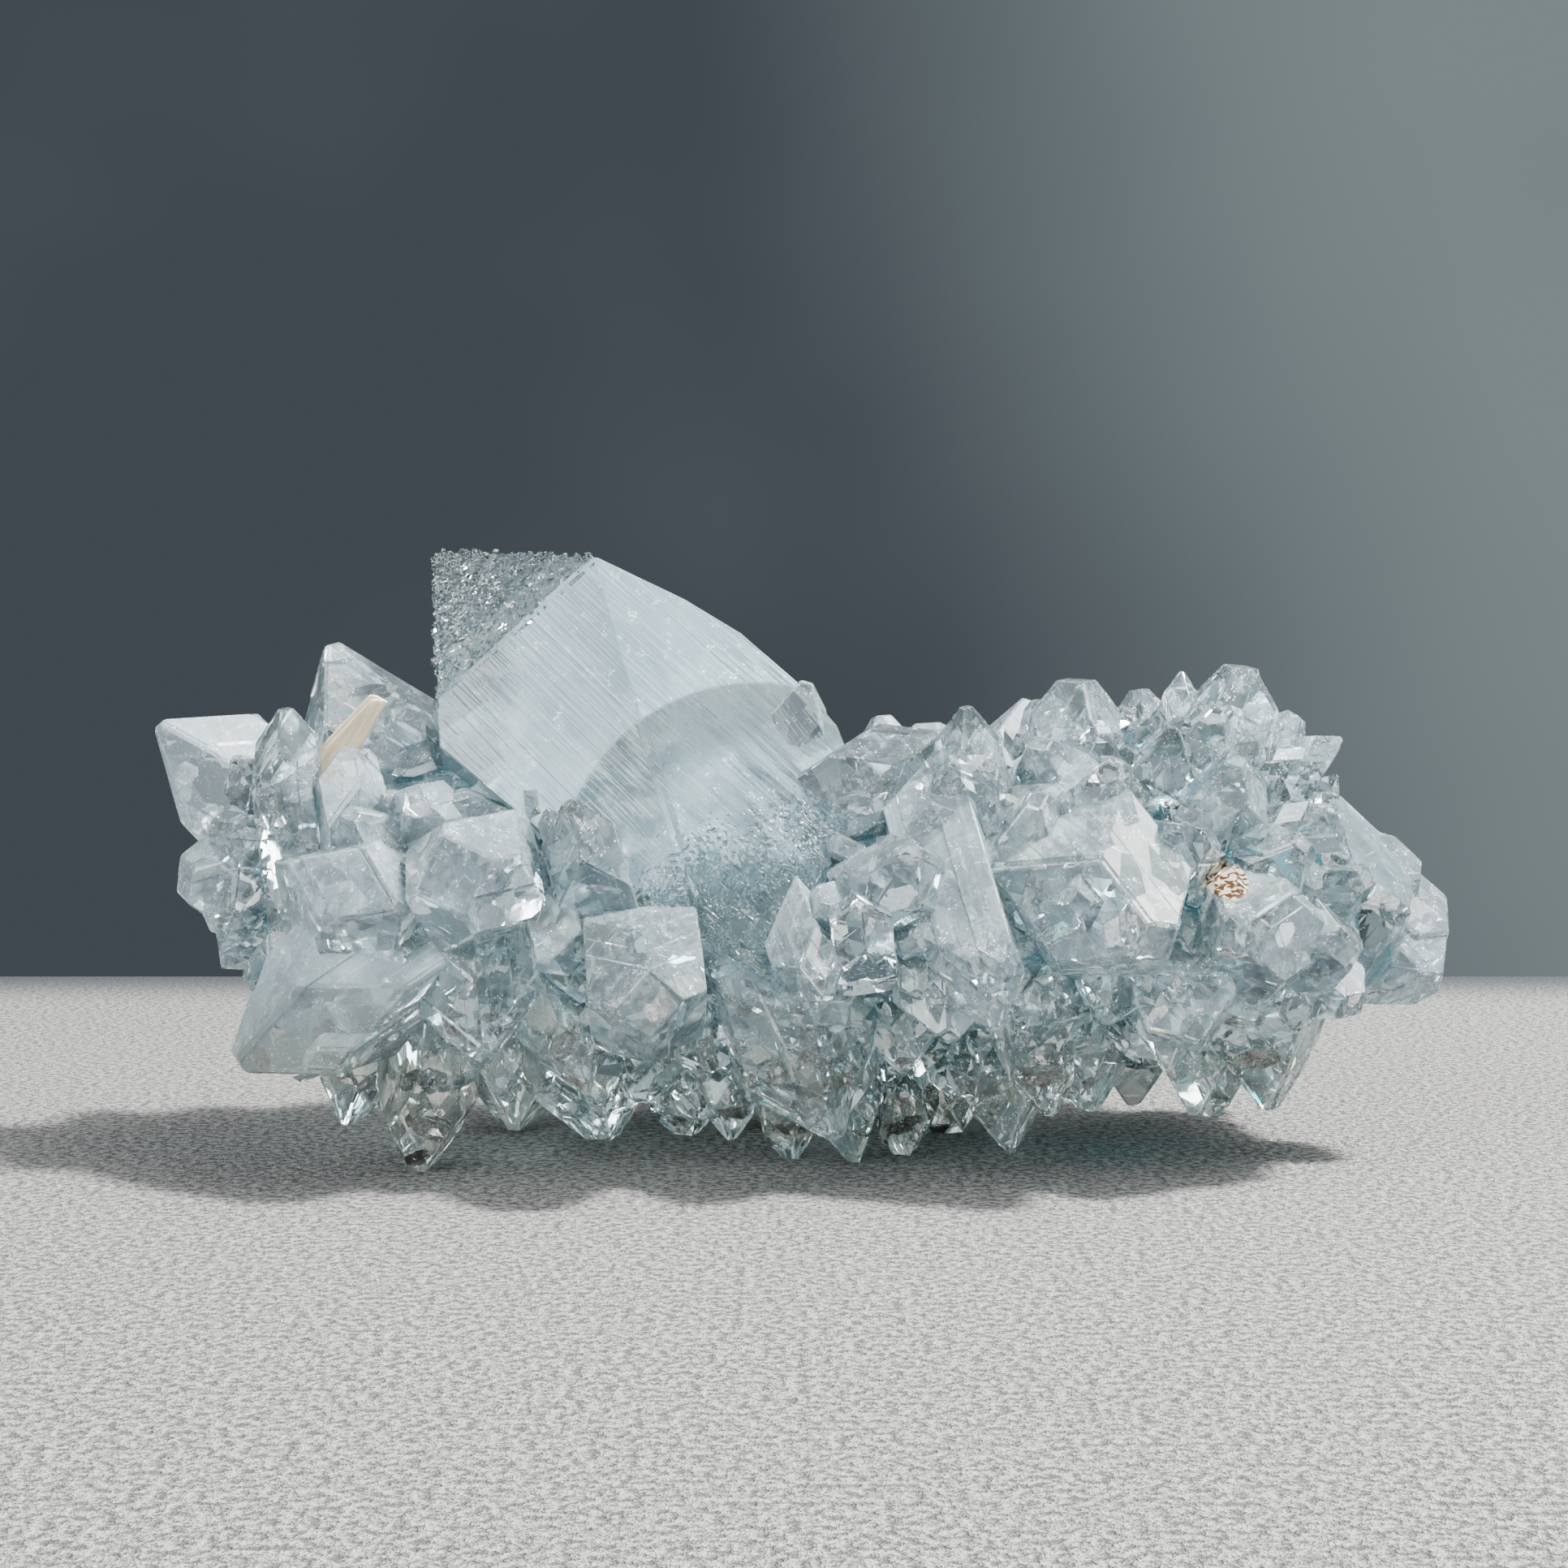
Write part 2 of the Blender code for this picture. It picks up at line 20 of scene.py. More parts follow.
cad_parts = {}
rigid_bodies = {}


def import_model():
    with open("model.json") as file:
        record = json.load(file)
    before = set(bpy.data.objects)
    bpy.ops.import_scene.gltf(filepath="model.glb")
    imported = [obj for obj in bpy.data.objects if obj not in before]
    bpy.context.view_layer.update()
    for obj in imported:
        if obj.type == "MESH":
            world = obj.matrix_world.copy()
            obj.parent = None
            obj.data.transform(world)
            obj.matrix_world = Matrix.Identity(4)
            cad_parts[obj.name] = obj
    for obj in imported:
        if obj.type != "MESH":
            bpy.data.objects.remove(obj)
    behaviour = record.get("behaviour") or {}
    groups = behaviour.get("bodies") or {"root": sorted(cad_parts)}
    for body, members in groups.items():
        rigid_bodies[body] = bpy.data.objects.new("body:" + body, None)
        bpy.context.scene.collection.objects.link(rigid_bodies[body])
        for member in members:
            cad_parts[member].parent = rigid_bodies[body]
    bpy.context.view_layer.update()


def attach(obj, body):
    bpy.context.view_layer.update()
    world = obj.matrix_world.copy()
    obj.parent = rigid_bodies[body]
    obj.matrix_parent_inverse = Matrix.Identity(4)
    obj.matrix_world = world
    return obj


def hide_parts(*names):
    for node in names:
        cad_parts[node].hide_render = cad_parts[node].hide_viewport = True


bl_info = {
    "name": "Apophyllite Cluster",
    "version": (1, 0, 0),
    "blender": (4, 5, 0),
    "location": "View3D > Sidebar > Specimen",
    "description": "Grows a free-standing apophyllite cluster with a stilbite blade",
    "category": "Add Mesh",
}

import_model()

MM = 0.001
TINY = 1e-7  # lengths below this (m) count as nothing
CLUSTER, BLADE = "apophyllite_cluster", "stilbite_blade"
SEEDS = {  # one for each thing that is drawn by chance
    "cover": 11, "cloud": 3, "crystal": 1000, "grooves": 77, "small": 5, "hillocks": 8, "beads": 9, "cracks": 12,
}
HOME_STEP = (-0.310, 1.109, -0.450)  # from the tables below to the part's frame (mm)
HOME = Matrix.Translation([step * MM for step in HOME_STEP])

# ---------------- the solid part's crystals, in mm
AXIAL_RATIO = 1.76
PYRAMID_LEAN = math.atan(AXIAL_RATIO)
TIP_UNEVENNESS = 0.09  # shares of the width
PRISM_UNEVENNESS = 0.12

# the mass that the crystals grow from: x, y and z of its middle line, and its radius in height
ROOT_STATIONS = (
    (-42.0, 0.0, 23.5, 6.5),
    (-32.0, 0.0, 21.5, 10.0),
    (-16.0, 0.0, 19.0, 11.0),
    (0.0, 0.0, 18.0, 11.0),
    (14.0, 0.0, 19.0, 11.5),
    (28.0, 0.0, 21.5, 12.5),
    (38.0, 0.0, 20.0, 10.0),
    (45.0, 0.0, 18.0, 6.0),
)
ROOT_DEPTH = 1.22  # its depth over its height

# tip, the way it points, width, spin (degrees), blunt (share of the width), length
MAIN_CRYSTALS = (
    # the left end
    ((-49.1, -5.0, 33.8), (-0.70, -0.46, 0.60), 9.8, 0, 0.03, 24),
    ((-45.2, 6.0, 34.1), (-0.20, 0.30, 0.93), 6.5, 20, 0.28, 20),
    ((-38.6, -9.5, 35.2), (-0.06, -0.24, 0.97), 5.2, 8, 0.08, 22),
    ((-37.6, 6.0, 40.3), (-0.36, 0.10, 0.93), 12.0, 90, 0.02, 28),
    ((-46.7, -7.0, 22.5), (-0.85, -0.52, 0.05), 7.5, 30, 0.30, 20),
    ((-42.6, 0.0, 13.4), (-0.66, 0.05, -0.75), 5.5, 10, 0.10, 20),
    ((-28.5, -20.0, 21.0), (0.42, -0.90, 0.02), 8.0, 15, 0.06, 22),
    ((-24.3, -22.0, 23.6), (-0.10, -0.98, 0.12), 9.0, 20, 0.34, 24),
    ((-41.4, -14.0, 9.9), (-0.77, -0.36, -0.52), 9.8, 35, 0.10, 32),
    ((-23.0, -15.5, 10.2), (0.15, -0.62, -0.77), 8.0, 10, 0.12, 22),
    ((-39.4, -1.0, 6.2), (-0.55, -0.05, -0.83), 5.0, 30, 0.10, 18),
    ((-35.2, -4.0, 3.2), (-0.25, -0.10, -0.96), 6.4, 5, 0.05, 20),
    ((-29.0, -8.0, 0.2), (-0.10, -0.15, -0.98), 5.8, 12, 0.03, 22),
    ((-21.8, -8.0, 4.0), (0.02, -0.12, -0.99), 4.4, 40, 0.06, 20),
    ((-16.2, -12.0, 6.8), (0.38, -0.34, -0.86), 4.6, 0, 0.05, 20),
    ((-17.0, -17.5, 28.4), (-0.22, -0.52, 0.82), 5.8, 30, 0.06, 20),
    ((-33.0, -14.0, 27.5), (-0.30, -0.80, 0.52), 7.0, 25, 0.10, 20),
    ((-33.4, -11.2, 32.0), (0.05, -0.36, 0.93), 4.4, 20, 0.20, 18),
    ((-19.0, -19.0, 17.2), (-0.15, -0.90, -0.40), 5.2, 30, 0.10, 20),
    # below the big crystal and along the front
    ((-10.8, -24.0, 14.6), (0.10, -0.98, -0.14), 8.8, 4, 0.28, 26),
    ((-15.4, -2.0, 2.0), (0.20, 0.10, -0.97), 9.0, 20, 0.16, 22),
    ((-9.4, 0.0, 1.9), (0.05, 0.05, -1.00), 6.0, 25, 0.20, 20),
    ((-5.6, -3.5, 2.0), (0.05, -0.15, -0.98), 4.6, 30, 0.05, 20),
    ((-1.0, -3.0, 0.0), (0.12, -0.12, -0.98), 4.2, 35, 0.05, 22),
    ((4.0, -4.0, 0.1), (0.16, -0.15, -0.97), 5.4, 5, 0.05, 22),
    ((7.9, -1.0, 0.0), (0.02, 0.05, -1.00), 3.8, 40, 0.12, 22),
    ((2.4, -14.0, 4.2), (0.42, -0.42, -0.80), 9.4, 30, 0.05, 26),
    ((3.6, -23.0, 21.9), (-0.06, -0.84, 0.54), 4.4, 10, 0.05, 10),
    ((1.5, -21.5, 15.0), (0.20, -0.86, -0.46), 4.2, 50, 0.10, 20),
    ((7.5, -20.5, 25.5), (0.15, -0.84, 0.52), 5.4, 15, 0.10, 20),
    ((10.0, -19.0, 12.0), (0.10, -0.80, -0.60), 6.0, 0, 0.12, 20),
    ((13.2, -20.0, 12.8), (0.20, -0.58, -0.79), 5.6, 35, 0.06, 22),
    ((17.8, -14.0, 5.6), (0.18, -0.36, -0.91), 4.8, 15, 0.06, 22),
    ((15.4, -8.0, 1.6), (0.10, -0.20, -0.97), 5.4, 5, 0.05, 22),
    ((12.2, -2.0, 2.6), (-0.05, 0.00, -1.00), 3.0, 40, 0.05, 20),
    # the shoulder right of the big crystal
    ((0.1, -8.0, 37.1), (0.20, -0.34, 0.92), 4.4, 5, 0.08, 16),
    ((6.0, 3.0, 34.5), (-0.10, 0.10, 0.99), 6.2, 15, 0.16, 20),
    ((10.4, 8.0, 33.8), (0.05, 0.20, 0.98), 6.6, 30, 0.26, 20),
    ((9.8, -10.0, 33.2), (0.80, -0.28, 0.52), 5.6, 10, 0.10, 22),
    ((11.6, -12.0, 35.3), (-0.08, -0.22, 0.97), 5.2, 5, 0.08, 24),
    ((17.6, 5.0, 35.9), (0.26, 0.05, 0.96), 5.4, 45, 0.02, 20),
    ((21.0, -2.0, 37.3), (0.00, -0.10, 0.99), 6.8, 10, 0.26, 22),
    ((16.5, -16.5, 28.5), (-0.10, -0.72, 0.69), 6.4, 25, 0.12, 20),
    ((22.0, -16.0, 31.5), (0.10, -0.62, 0.78), 5.0, 0, 0.12, 18),
    # the right half
    ((29.4, 0.0, 38.0), (0.05, 0.00, 1.00), 3.0, 15, 0.05, 16),
    ((26.4, 2.0, 36.6), (-0.10, 0.10, 0.99), 4.4, 40, 0.20, 16),
    ((33.6, -2.0, 38.4), (0.10, -0.12, 0.99), 6.6, 20, 0.24, 22),
    ((38.2, 0.0, 34.6), (0.55, 0.00, 0.83), 5.0, 10, 0.18, 20),
    ((41.4, -2.0, 32.8), (0.86, -0.05, 0.50), 3.2, 40, 0.03, 18),
    ((41.3, -2.0, 26.6), (0.78, -0.14, 0.60), 8.4, 15, 0.30, 24),
    ((47.2, -3.0, 21.9), (0.96, -0.20, -0.10), 5.8, 10, 0.26, 20),
    ((49.5, -2.0, 18.0), (0.98, -0.12, -0.04), 8.4, 5, 0.34, 26),
    ((48.8, -4.0, 15.6), (0.96, -0.20, -0.14), 6.4, 5, 0.34, 26),
    ((41.6, -4.0, 11.8), (0.34, -0.20, -0.92), 4.2, 0, 0.14, 18),
    ((30.0, -20.5, 19.5), (-0.36, -0.92, 0.04), 8.4, 40, 0.16, 24),
    ((38.5, -16.0, 18.0), (0.46, -0.88, -0.06), 8.2, 10, 0.20, 22),
    ((24.0, -24.0, 19.0), (0.30, -0.90, -0.30), 11.0, 35, 0.16, 26),
    ((19.0, -23.0, 22.0), (-0.25, -0.96, 0.10), 6.6, 5, 0.14, 22),
    ((27.6, -20.0, 12.8), (0.05, -0.95, -0.30), 6.8, 20, 0.18, 22),
    ((29.2, -8.0, 4.6), (-0.05, -0.22, -0.97), 4.6, 45, 0.04, 20),
    ((31.6, -3.0, 3.8), (0.08, -0.05, -0.99), 7.4, 15, 0.16, 20),
    ((34.8, -9.0, 5.2), (0.04, -0.14, -0.99), 9.6, 0, 0.06, 24),
    ((22.0, -2.0, 4.2), (0.10, 0.10, -0.99), 7.0, 30, 0.14, 20),
    ((31.0, -14.5, 31.5), (0.10, -0.62, 0.78), 6.0, 15, 0.16, 20),
    ((26.0, -18.5, 26.8), (-0.10, -0.86, 0.50), 4.8, 40, 0.12, 18),
    ((35.5, -16.0, 25.5), (0.35, -0.80, 0.48), 6.6, 0, 0.14, 20),
    # feet at the back
    ((-24.0, 11.0, -0.4), (-0.10, 0.20, -0.97), 6.6, 10, 0.05, 22),
    ((-2.0, 13.0, -0.4), (0.05, 0.22, -0.97), 5.8, 30, 0.05, 22),
    ((12.5, 11.0, -3.6), (0.00, 0.00, -1.00), 6.4, 20, 0.02, 24),
    ((27.0, 10.0, 2.5), (0.10, 0.15, -0.98), 7.0, 5, 0.08, 22),
)

# the big crystal: a point of each face, and the way it looks
BIG_CRYSTAL_FACES = (
    ((-29.1, 2.6, 47.0), (-1.00, -0.10, -0.05)),  # left side
    ((-15.9, -6.2, 46.5), (0.07, 0.00, 1.00)),  # top
    ((-15.9, -6.2, 46.2), (-0.48, -0.76, 0.62)),  # etched corner
    ((-15.9, -6.2, 46.2), (-0.16, -0.94, 0.29)),  # front, left of the ridge
    ((-15.9, -6.2, 46.2), (0.20, -0.90, 0.39)),  # front, right of the ridge
    ((-12.3, -6.0, 44.9), (0.43, 0.06, 0.90)),  # the curved shoulder, in five steps
    ((-7.0, -6.0, 42.1), (0.52, 0.06, 0.86)),
    ((-2.8, -6.0, 39.0), (0.66, 0.06, 0.75)),
    ((0.8, -6.0, 35.5), (0.75, 0.06, 0.66)),
    ((2.7, -6.0, 32.8), (0.93, 0.04, 0.36)),
    ((-21.2, -11.3, 27.7), (-0.66, -0.28, -0.70)),  # lower left side
    ((-8.5, -15.0, 18.9), (-0.53, -0.25, -0.81)),  # ledge below the front
    ((-24.0, 12.0, 36.0), (-0.36, 0.92, 0.14)),  # back
    ((-8.0, 14.0, 34.0), (0.45, 0.86, 0.22)),
    ((-10.0, 12.0, 24.0), (0.10, 0.60, -0.80)),  # lower back, where it meets the cluster
    ((1.0, -12.5, 22.5), (0.85, -0.50, -0.15)),  # the end that runs into the cluster
)
ETCHED_FACE, LEFT_FRONT_FACE, RIGHT_FRONT_FACE = 2, 3, 4
CORNER_PLANE = ((-16.2, -6.2, 46.6), (-0.683, 0.0, 0.731))  # beyond it the big crystal is a clear plate
CORNER_PLATE = 7.0  # thickness of that plate
CORNER_LAP = 0.8  # how far the plate runs on into the body
BIG_CRYSTAL_BLOCK = 34.0  # half the side of the block that its faces cut it from
BIG_CRYSTAL_CENTRE = (-12.0, 0.0, 32.0)
BIG_CRYSTAL_MARGIN = 4.2  # no tip of the cover comes nearer to it
BIG_CRYSTAL_AXIS = (-0.70, -0.05, 0.71)  # its grooves run this way

# the crystals that cover the roots, in rounds: least spacing, range of the widths, range of the reaches
COVER_ROUNDS = (
    (9.5, (7.5, 10.5), (7.0, 10.0)),
    (6.6, (5.0, 7.0), (5.0, 8.0)),
    (4.9, (4.2, 5.4), (3.0, 5.0)),
)
COVER_TRIES = 900  # in each round
COVER_ROOT = 0.9  # how far they run on into the roots, as a share of the width
END_EVERY = 8  # every so many tries, one is at an end
BROAD_ROUNDS_FROM = 0.30  # the broad rounds keep to spots that look at least this far to the back
COVER_BLUNTS = (0.04, 0.08, 0.16, 0.3)  # shares of the width
LEAN = 0.28  # how far they lean off the way that their spot faces
COVER_CLEARANCE = 0.17  # how much the lowest tip's height grows per mm to the front
COVER_ROOM = (  # x, and the lowest and highest tip there
    (-48.0, 21.0, 27.0),
    (-44.0, 15.0, 32.0),
    (-39.0, 7.0, 33.5),
    (-33.0, 4.0, 34.0),
    (-28.0, 2.8, 34.0),
    (-8.0, 2.4, 32.0),
    (3.0, 1.8, 32.5),
    (16.0, 2.2, 33.0),
    (22.0, 3.6, 35.5),
    (35.0, 4.6, 36.5),
    (38.0, 7.0, 33.5),
    (42.0, 12.0, 25.0),
    (45.0, 14.0, 20.0),
)
GOLDEN_TURN = math.pi * (3 - math.sqrt(5))
CREVICE_RAYS, CREVICE_START, CREVICE_REACH = 16, 0.1, 7.0
BELOW = ((140, 90, 20), (0, 0, -10))  # the block that cuts the feet level: size and centre in the part's frame

BLADE_SIZE = (2.5, 1.2, 7.4)  # width, thickness, length
BLADE_FOOT = (-36.0, -8.2, 29.9)
BLADE_AIM = (0.50, 0.06, 0.86)
BLADE_SPIN = 100  # degrees
BLADE_ACROSS, BLADE_ALONG = (0.86, 0.0, -0.5), (0.5, 0.0, 0.86)  # its streaks run along it
# the blade's tablets: shares of its width and thickness, shift (share of the thickness), drop of the top
TABLETS = ((1.0, 0.42, 0.0, 0.0), (0.86, 0.30, 0.30, 0.35), (0.92, 0.30, -0.30, 0.7))
TABLET_WEAR = 0.06
TABLET_CUTS = (((-32.0, -8.5, 36.2), (0.03, 0.05, 1.00)), ((-34.9, -8.5, 33.6), (-0.735, 0.0, 0.68)))

# the part of the big crystal inside an arch stands proud, and a band inside it is painted clearer and darker as a cast
# shadow: centre (x, z) and radius, seen from the front
ARCH_CENTRE, ARCH_RADIUS = (-3.7, 22.9), 14.2
ARCH_FROM, ARCH_TO, ARCH_SIDES = 62, 178, 11  # degrees round from +X to +Z, and the number of its straight pieces
ARCH_LIFT = 0.16  # how far it stands proud
WORN_EDGES = (  # points along the big crystal's beaded edges, and the way they face
    (((-27.6, -7.1, 36.0), (-28.35, -2.1, 41.6), (-29.1, 2.9, 47.1)), (-0.9, -0.6, 0.1)),
    (((-28.9, 3.0, 47.4), (-22.4, -1.6, 46.95), (-15.9, -6.0, 46.5)), (-0.2, -0.6, 0.9)),
)

# ---------------- finer forms
WEAR_WIDTH = 7.0  # the edge wear is set for a crystal of this width (mm)
BIG_WEAR, GROOVE_WEAR, ARCH_WEAR = 0.10, 0.02, 0.05
# growth plates, in shares of the crystal: how far they stand proud, their width, how far their tips stand back
PLATE_RISE, PLATE_WIDTH, PLATE_BACK = (0.006, 0.026), (0.2, 0.75), (-0.010, 0.024)
# side tips, in shares of the crystal
SIDE_TIP_COUNTS = (0, 0, 1, 1, 2)
SIDE_TIP_WIDTH, SIDE_TIP_DROP, SIDE_TIP_BLUNT = (0.26, 0.5), (0.25, 0.9), (0.02, 0.3)
SIDE_TIP_SHAPE, SIDE_TIP_UNEVENNESS = (0.85, 1.15), 0.04
SIDE_TIP_REACH, SIDE_TIP_OUT = 1.3, 1.05
# raised bands along the big crystal's front (mm): widths, length, rise, and how far aside and along they may lie
GROOVES_MIDDLE = (-10.0, -11.0, 34.0)
GROOVE_WIDTHS, GROOVE_LENGTH, GROOVE_LIFT = (0.2, 0.35, 0.5, 0.9, 1.6), (5, 24), (0.004, 0.018)
GROOVE_ASIDE, GROOVE_ALONG, GROOVE_SLANT = 17, 14, 0.5
# forms about 1 mm wide: the etching's hillocks (degrees, mm), small crystals (bluntness, flatness) and cracks
HILLOCK_LEAN, HILLOCK_TURN, HILLOCK_TOP = (28, 52), 12, 0.15
SMALL_FORMS, SMALL_LENGTH, SMALL_TOP = ((0.03, 1.0), (0.10, 0.8), (0.25, 1.15), (0.06, 0.62)), 2.6, 0.75
CRACK_SIDES, CRACK_THICKNESS, CRACK_STRETCH = 6, 0.02, (0.55, 1.1)

GROUND_RISE, GROUND_MARGIN = 0.6, 1.2  # the small crystals' ground above the roots, and off the big crystal (mm)
BEAD_SEED, BEAD_BAND = 7, 0.7  # the band along a worn edge that the beads sit on is this wide (mm)
# what grows on the cluster: distances in m, sizes as factors of the forms, tilts in radians
SMALL_GROWTH = {"smallest": 0.9, "largest": 3.0, "tilt": 0.7, "seed": 4}
ETCHING = {"spacing": 0.50 * MM, "smallest": 0.45, "largest": 1.2, "tilt": 0.3, "seed": 6}
BEADS = {"spacing": 0.38 * MM, "smallest": 0.35, "largest": 0.8, "tilt": 1.5}
CRACKS = {"shallowest": 0.3 * MM, "deepest": 3.0 * MM, "smallest": 0.8, "largest": 4.0, "tilt": 0.6, "seed": 9}

# ---------------- looks
MILKY = {  # main crystals with a cloudiness of their own; the others draw theirs
    0: 0.48, 3: 0.15, 4: 0.40, 6: 0.30, 7: 0.30, 8: 0.60, 27: 0.10, 39: 0.06, 56: 0.20,
}
CLOUDINESS, BIG_CLOUD, ROOTS_CLOUD, BEAD_CLOUD = (0.03, 0.25), 0.8, 0.3, 0.35
STAIN_SPOT, STAIN_SHAPE = (29.7, -15.0, 22.5), (0.8, 0.12, 1.0)  # middle of the iron stain in the part's frame
# noise patterns: scale per mm, detail and roughness
PATTERNS = {"patches": (0.18, 1.0, 0.5), "veils": (0.9, 2.0, 0.6), "flecks": (3.2, 0.0, 0.5), "specks": (6.5, 0.0, 0.5)}
IOR = 1.535
MILK_ROUGHNESS, MILK_TRANSMISSION = 0.16, 0.45
RELIEF, BLADE_RELIEF, FLOOR_RELIEF = 0.15 * MM, 0.06 * MM, 1.2 * MM

# colours of the clear crystal
CLEAR_TINTS = (0.975, 0.99, 0.99, 1), (0.95, 0.98, 0.985, 1)
# painted shade: the first tint darkens the large crystal's low edge, and the third its arch band as a cast shadow
LOW_PART_SHADE_TINT, CORNER_TINT, ARCH_SHADOW_TINT = (0.38, 0.52, 0.57, 1), (0.45, 0.53, 0.55, 1), (0.72, 0.85, 0.89, 1)
# painted shade: the first tint darkens the clear crystal towards its underside, the second in crevices between crystals
UNDERSIDE_SHADE_TINT, CREVICE_SHADE_TINT = (0.92, 0.885, 0.815, 1), (0.39, 0.48, 0.51, 1)
# colours of the milky crystal
MILK_COLOURS = (0.62, 0.73, 0.79, 1), (0.72, 0.81, 0.87, 1)
# painted shade: the second and third colours darken the milky crystal towards its underside and in crevices between
# crystals
LARGE_MILK, UNDERSIDE_SHADE_MILK, CREVICE_SHADE_MILK = (0.30, 0.43, 0.49, 1), (0.49, 0.49, 0.44, 1), (0.17, 0.22, 0.24, 1)
# the first colour is the white of frost, of worn edges painted partly as highlights, and of specks painted as glints
WHITE_FROST_AND_GLINT, STAIN_MILK, STAIN_VEIN = (0.90, 0.94, 0.96, 1), (0.60, 0.55, 0.46, 1), (0.10, 0.045, 0.015, 1)
BLADE_COLOURS = (0.42, 0.365, 0.285, 1), (0.56, 0.505, 0.41, 1)

# ---------------- stage, in m
FLOOR_HALF = (1.2, 0.62)
FLOOR_FADE, FLOOR_END = 0.092, 0.123  # it darkens from here, and ends here
FLOOR_TONES, FLOOR_END_COLOUR = (0.45, 1.5), (0.045, 0.055, 0.062, 1)
BACKDROP_COLOURS = (0.072, 0.083, 0.097, 1), (0.200, 0.238, 0.245, 1)
DOME_COLOUR = (0.94, 0.98, 1.0)
VIEW_LOOK = "AgX - Medium High Contrast"
KEY_SPOT, FILL_SPOT, LIGHTS_AIM = (0.372, -0.079, 0.658), (-0.5, -0.45, 0.35), (0, 0, 0.02)
KEY_SIZE, HALO_SIZE, FILL_SIZE = 0.09, 0.52, 0.5
SUN_COLOUR, FILL_COLOUR = (1.0, 0.985, 0.96), (0.97, 0.99, 1.0)
CAMERA_SPOT, CAMERA_TILT = (-1.91, -192.49, 35.55), 88  # mm, degrees
CAMERA_LENS, CAMERA_SENSOR = 57.09, 36.0  # mm
CAMERA_CLIP = (0.005, 10.0)


# ================ solids
def cut_face(bm, point, normal):
    """Cuts away what lies outside the plane, and closes the cut with one flat face."""
    geometry = bm.verts[:] + bm.edges[:] + bm.faces[:]
    cut = bmesh.ops.bisect_plane(
        bm, geom=geometry, dist=TINY, plane_co=point, plane_no=normal, clear_outer=True)
    rim = [e for e in cut["geom_cut"] if isinstance(e, bmesh.types.BMEdge)]
    if len(rim) > 2:
        bmesh.ops.edgenet_fill(bm, edges=rim)


def block(size, centre):
    bm = bmesh.new()
    bmesh.ops.create_cube(bm, size=1.0)
    bmesh.ops.scale(bm, vec=Vector(size) * MM, verts=bm.verts)
    bmesh.ops.translate(bm, vec=Vector(centre) * MM, verts=bm.verts)
    return bm


def leaning(azimuth, lean):
    """The unit vector that leans this far from +Z, this far round."""
    return Vector((math.cos(azimuth) * math.sin(lean), math.sin(azimuth) * math.sin(lean), math.cos(lean)))


def wear_edges(bm, width):
    """Chamfers every edge of a convex solid, and returns the chamfers."""
    made = bmesh.ops.bevel(
        bm, geom=bm.edges[:], offset=width, offset_type="OFFSET", segments=1, affect="EDGES", clamp_overlap=True)
    return made["faces"]


def mark_faces(bm, worn=(), axis=(0, 0, 0), cloud=0.0, tone=0.5, large=0.0, corner=0.0):
    """Writes what the material needs to know of the crystal on its faces."""
    layers = bm.faces.layers
    marks = {layers.float_vector.new("growth_axis"): Vector(axis)}
    for name, value in {"cloud": cloud, "tone": tone, "large": large, "corner": corner}.items():
        marks[layers.float.new(name)] = value
    # the chamfer faces of the worn edges, which the material whitens partly as a painted highlight
    edge = layers.float.new("worn_edge")
    for face in bm.faces:
        for layer, value in marks.items():
            face[layer] = value
    for face in worn:
        if face.is_valid:
            face[edge] = 1.0


def bmesh_of(mesh):
    bm = bmesh.new()
    bm.from_mesh(mesh)
    return bm


def mesh_of(bm, name):
    mesh = bpy.data.meshes.new(name)
    bm.to_mesh(mesh)
    bm.free()
    return mesh


def finish_mesh(bm, name):
    """The solid as a mesh, its faces turned outwards."""
    bmesh.ops.recalc_face_normals(bm, faces=bm.faces)
    return mesh_of(bm, name)


def make_collection(name):
    collection = bpy.data.collections.new(name)
    bpy.context.scene.collection.children.link(collection)
    return collection


def add_object(name, data, collection=None):
    obj = bpy.data.objects.new(name, data)
    (collection or bpy.context.scene.collection).objects.link(obj)
    return obj


def add_solid(bm, name, collection, matrix=None):
    """The solid as an object of the collection."""
    mesh = finish_mesh(bm, name)
    if matrix is not None:
        mesh.transform(matrix)
    return add_object(name, mesh, collection)


def clear_collection(collection):
    for obj in list(collection.objects):
        data = obj.data
        bpy.data.objects.remove(obj)
        if data.users == 0:
            bpy.data.meshes.remove(data)
    bpy.data.collections.remove(collection)


def evaluated_mesh(obj):
    """A plain mesh of the object with its modifiers in it."""
    return bpy.data.meshes.new_from_object(obj.evaluated_get(bpy.context.evaluated_depsgraph_get()))


def join_solids(host, solids):
    """The host's mesh with all the solids of the collection joined into it."""
    union = host.modifiers.new("solids", "BOOLEAN")
    union.operation, union.solver = "UNION", "MANIFOLD"
    union.operand_type, union.collection = "COLLECTION", solids
    return evaluated_mesh(host)


def place(tip, aim, spin):
    """The matrix that takes a crystal from +Z, tip at the origin, to its place."""
    turn = Vector(aim).to_track_quat("Z", "Y").to_matrix().to_4x4()
    return Matrix.Translation(Vector(tip) * MM) @ turn @ Matrix.Rotation(math.radians(spin), 4, "Z")


def crystal_solid(sides, backs, blunt, length, middle=(0.0, 0.0), level=None):
    """One tetragonal crystal along +Z as a bmesh, and the height of its tip (m).

    Its sides may stand off the pyramid's middle (mm), and its tip is level where that is given.
    """
    bm = block((*sides, length), (*middle, -length / 2))
    for quarter, back in enumerate(backs):
        normal = leaning(math.radians(45 + 90 * quarter), PYRAMID_LEAN)
        cut_face(bm, normal * back, normal)
    top = max(vert.co.z for vert in bm.verts)
    top = top - blunt * MM if level is None else min(top, level)
    cut_face(bm, (0, 0, top), (0, 0, 1))
    return bm, top


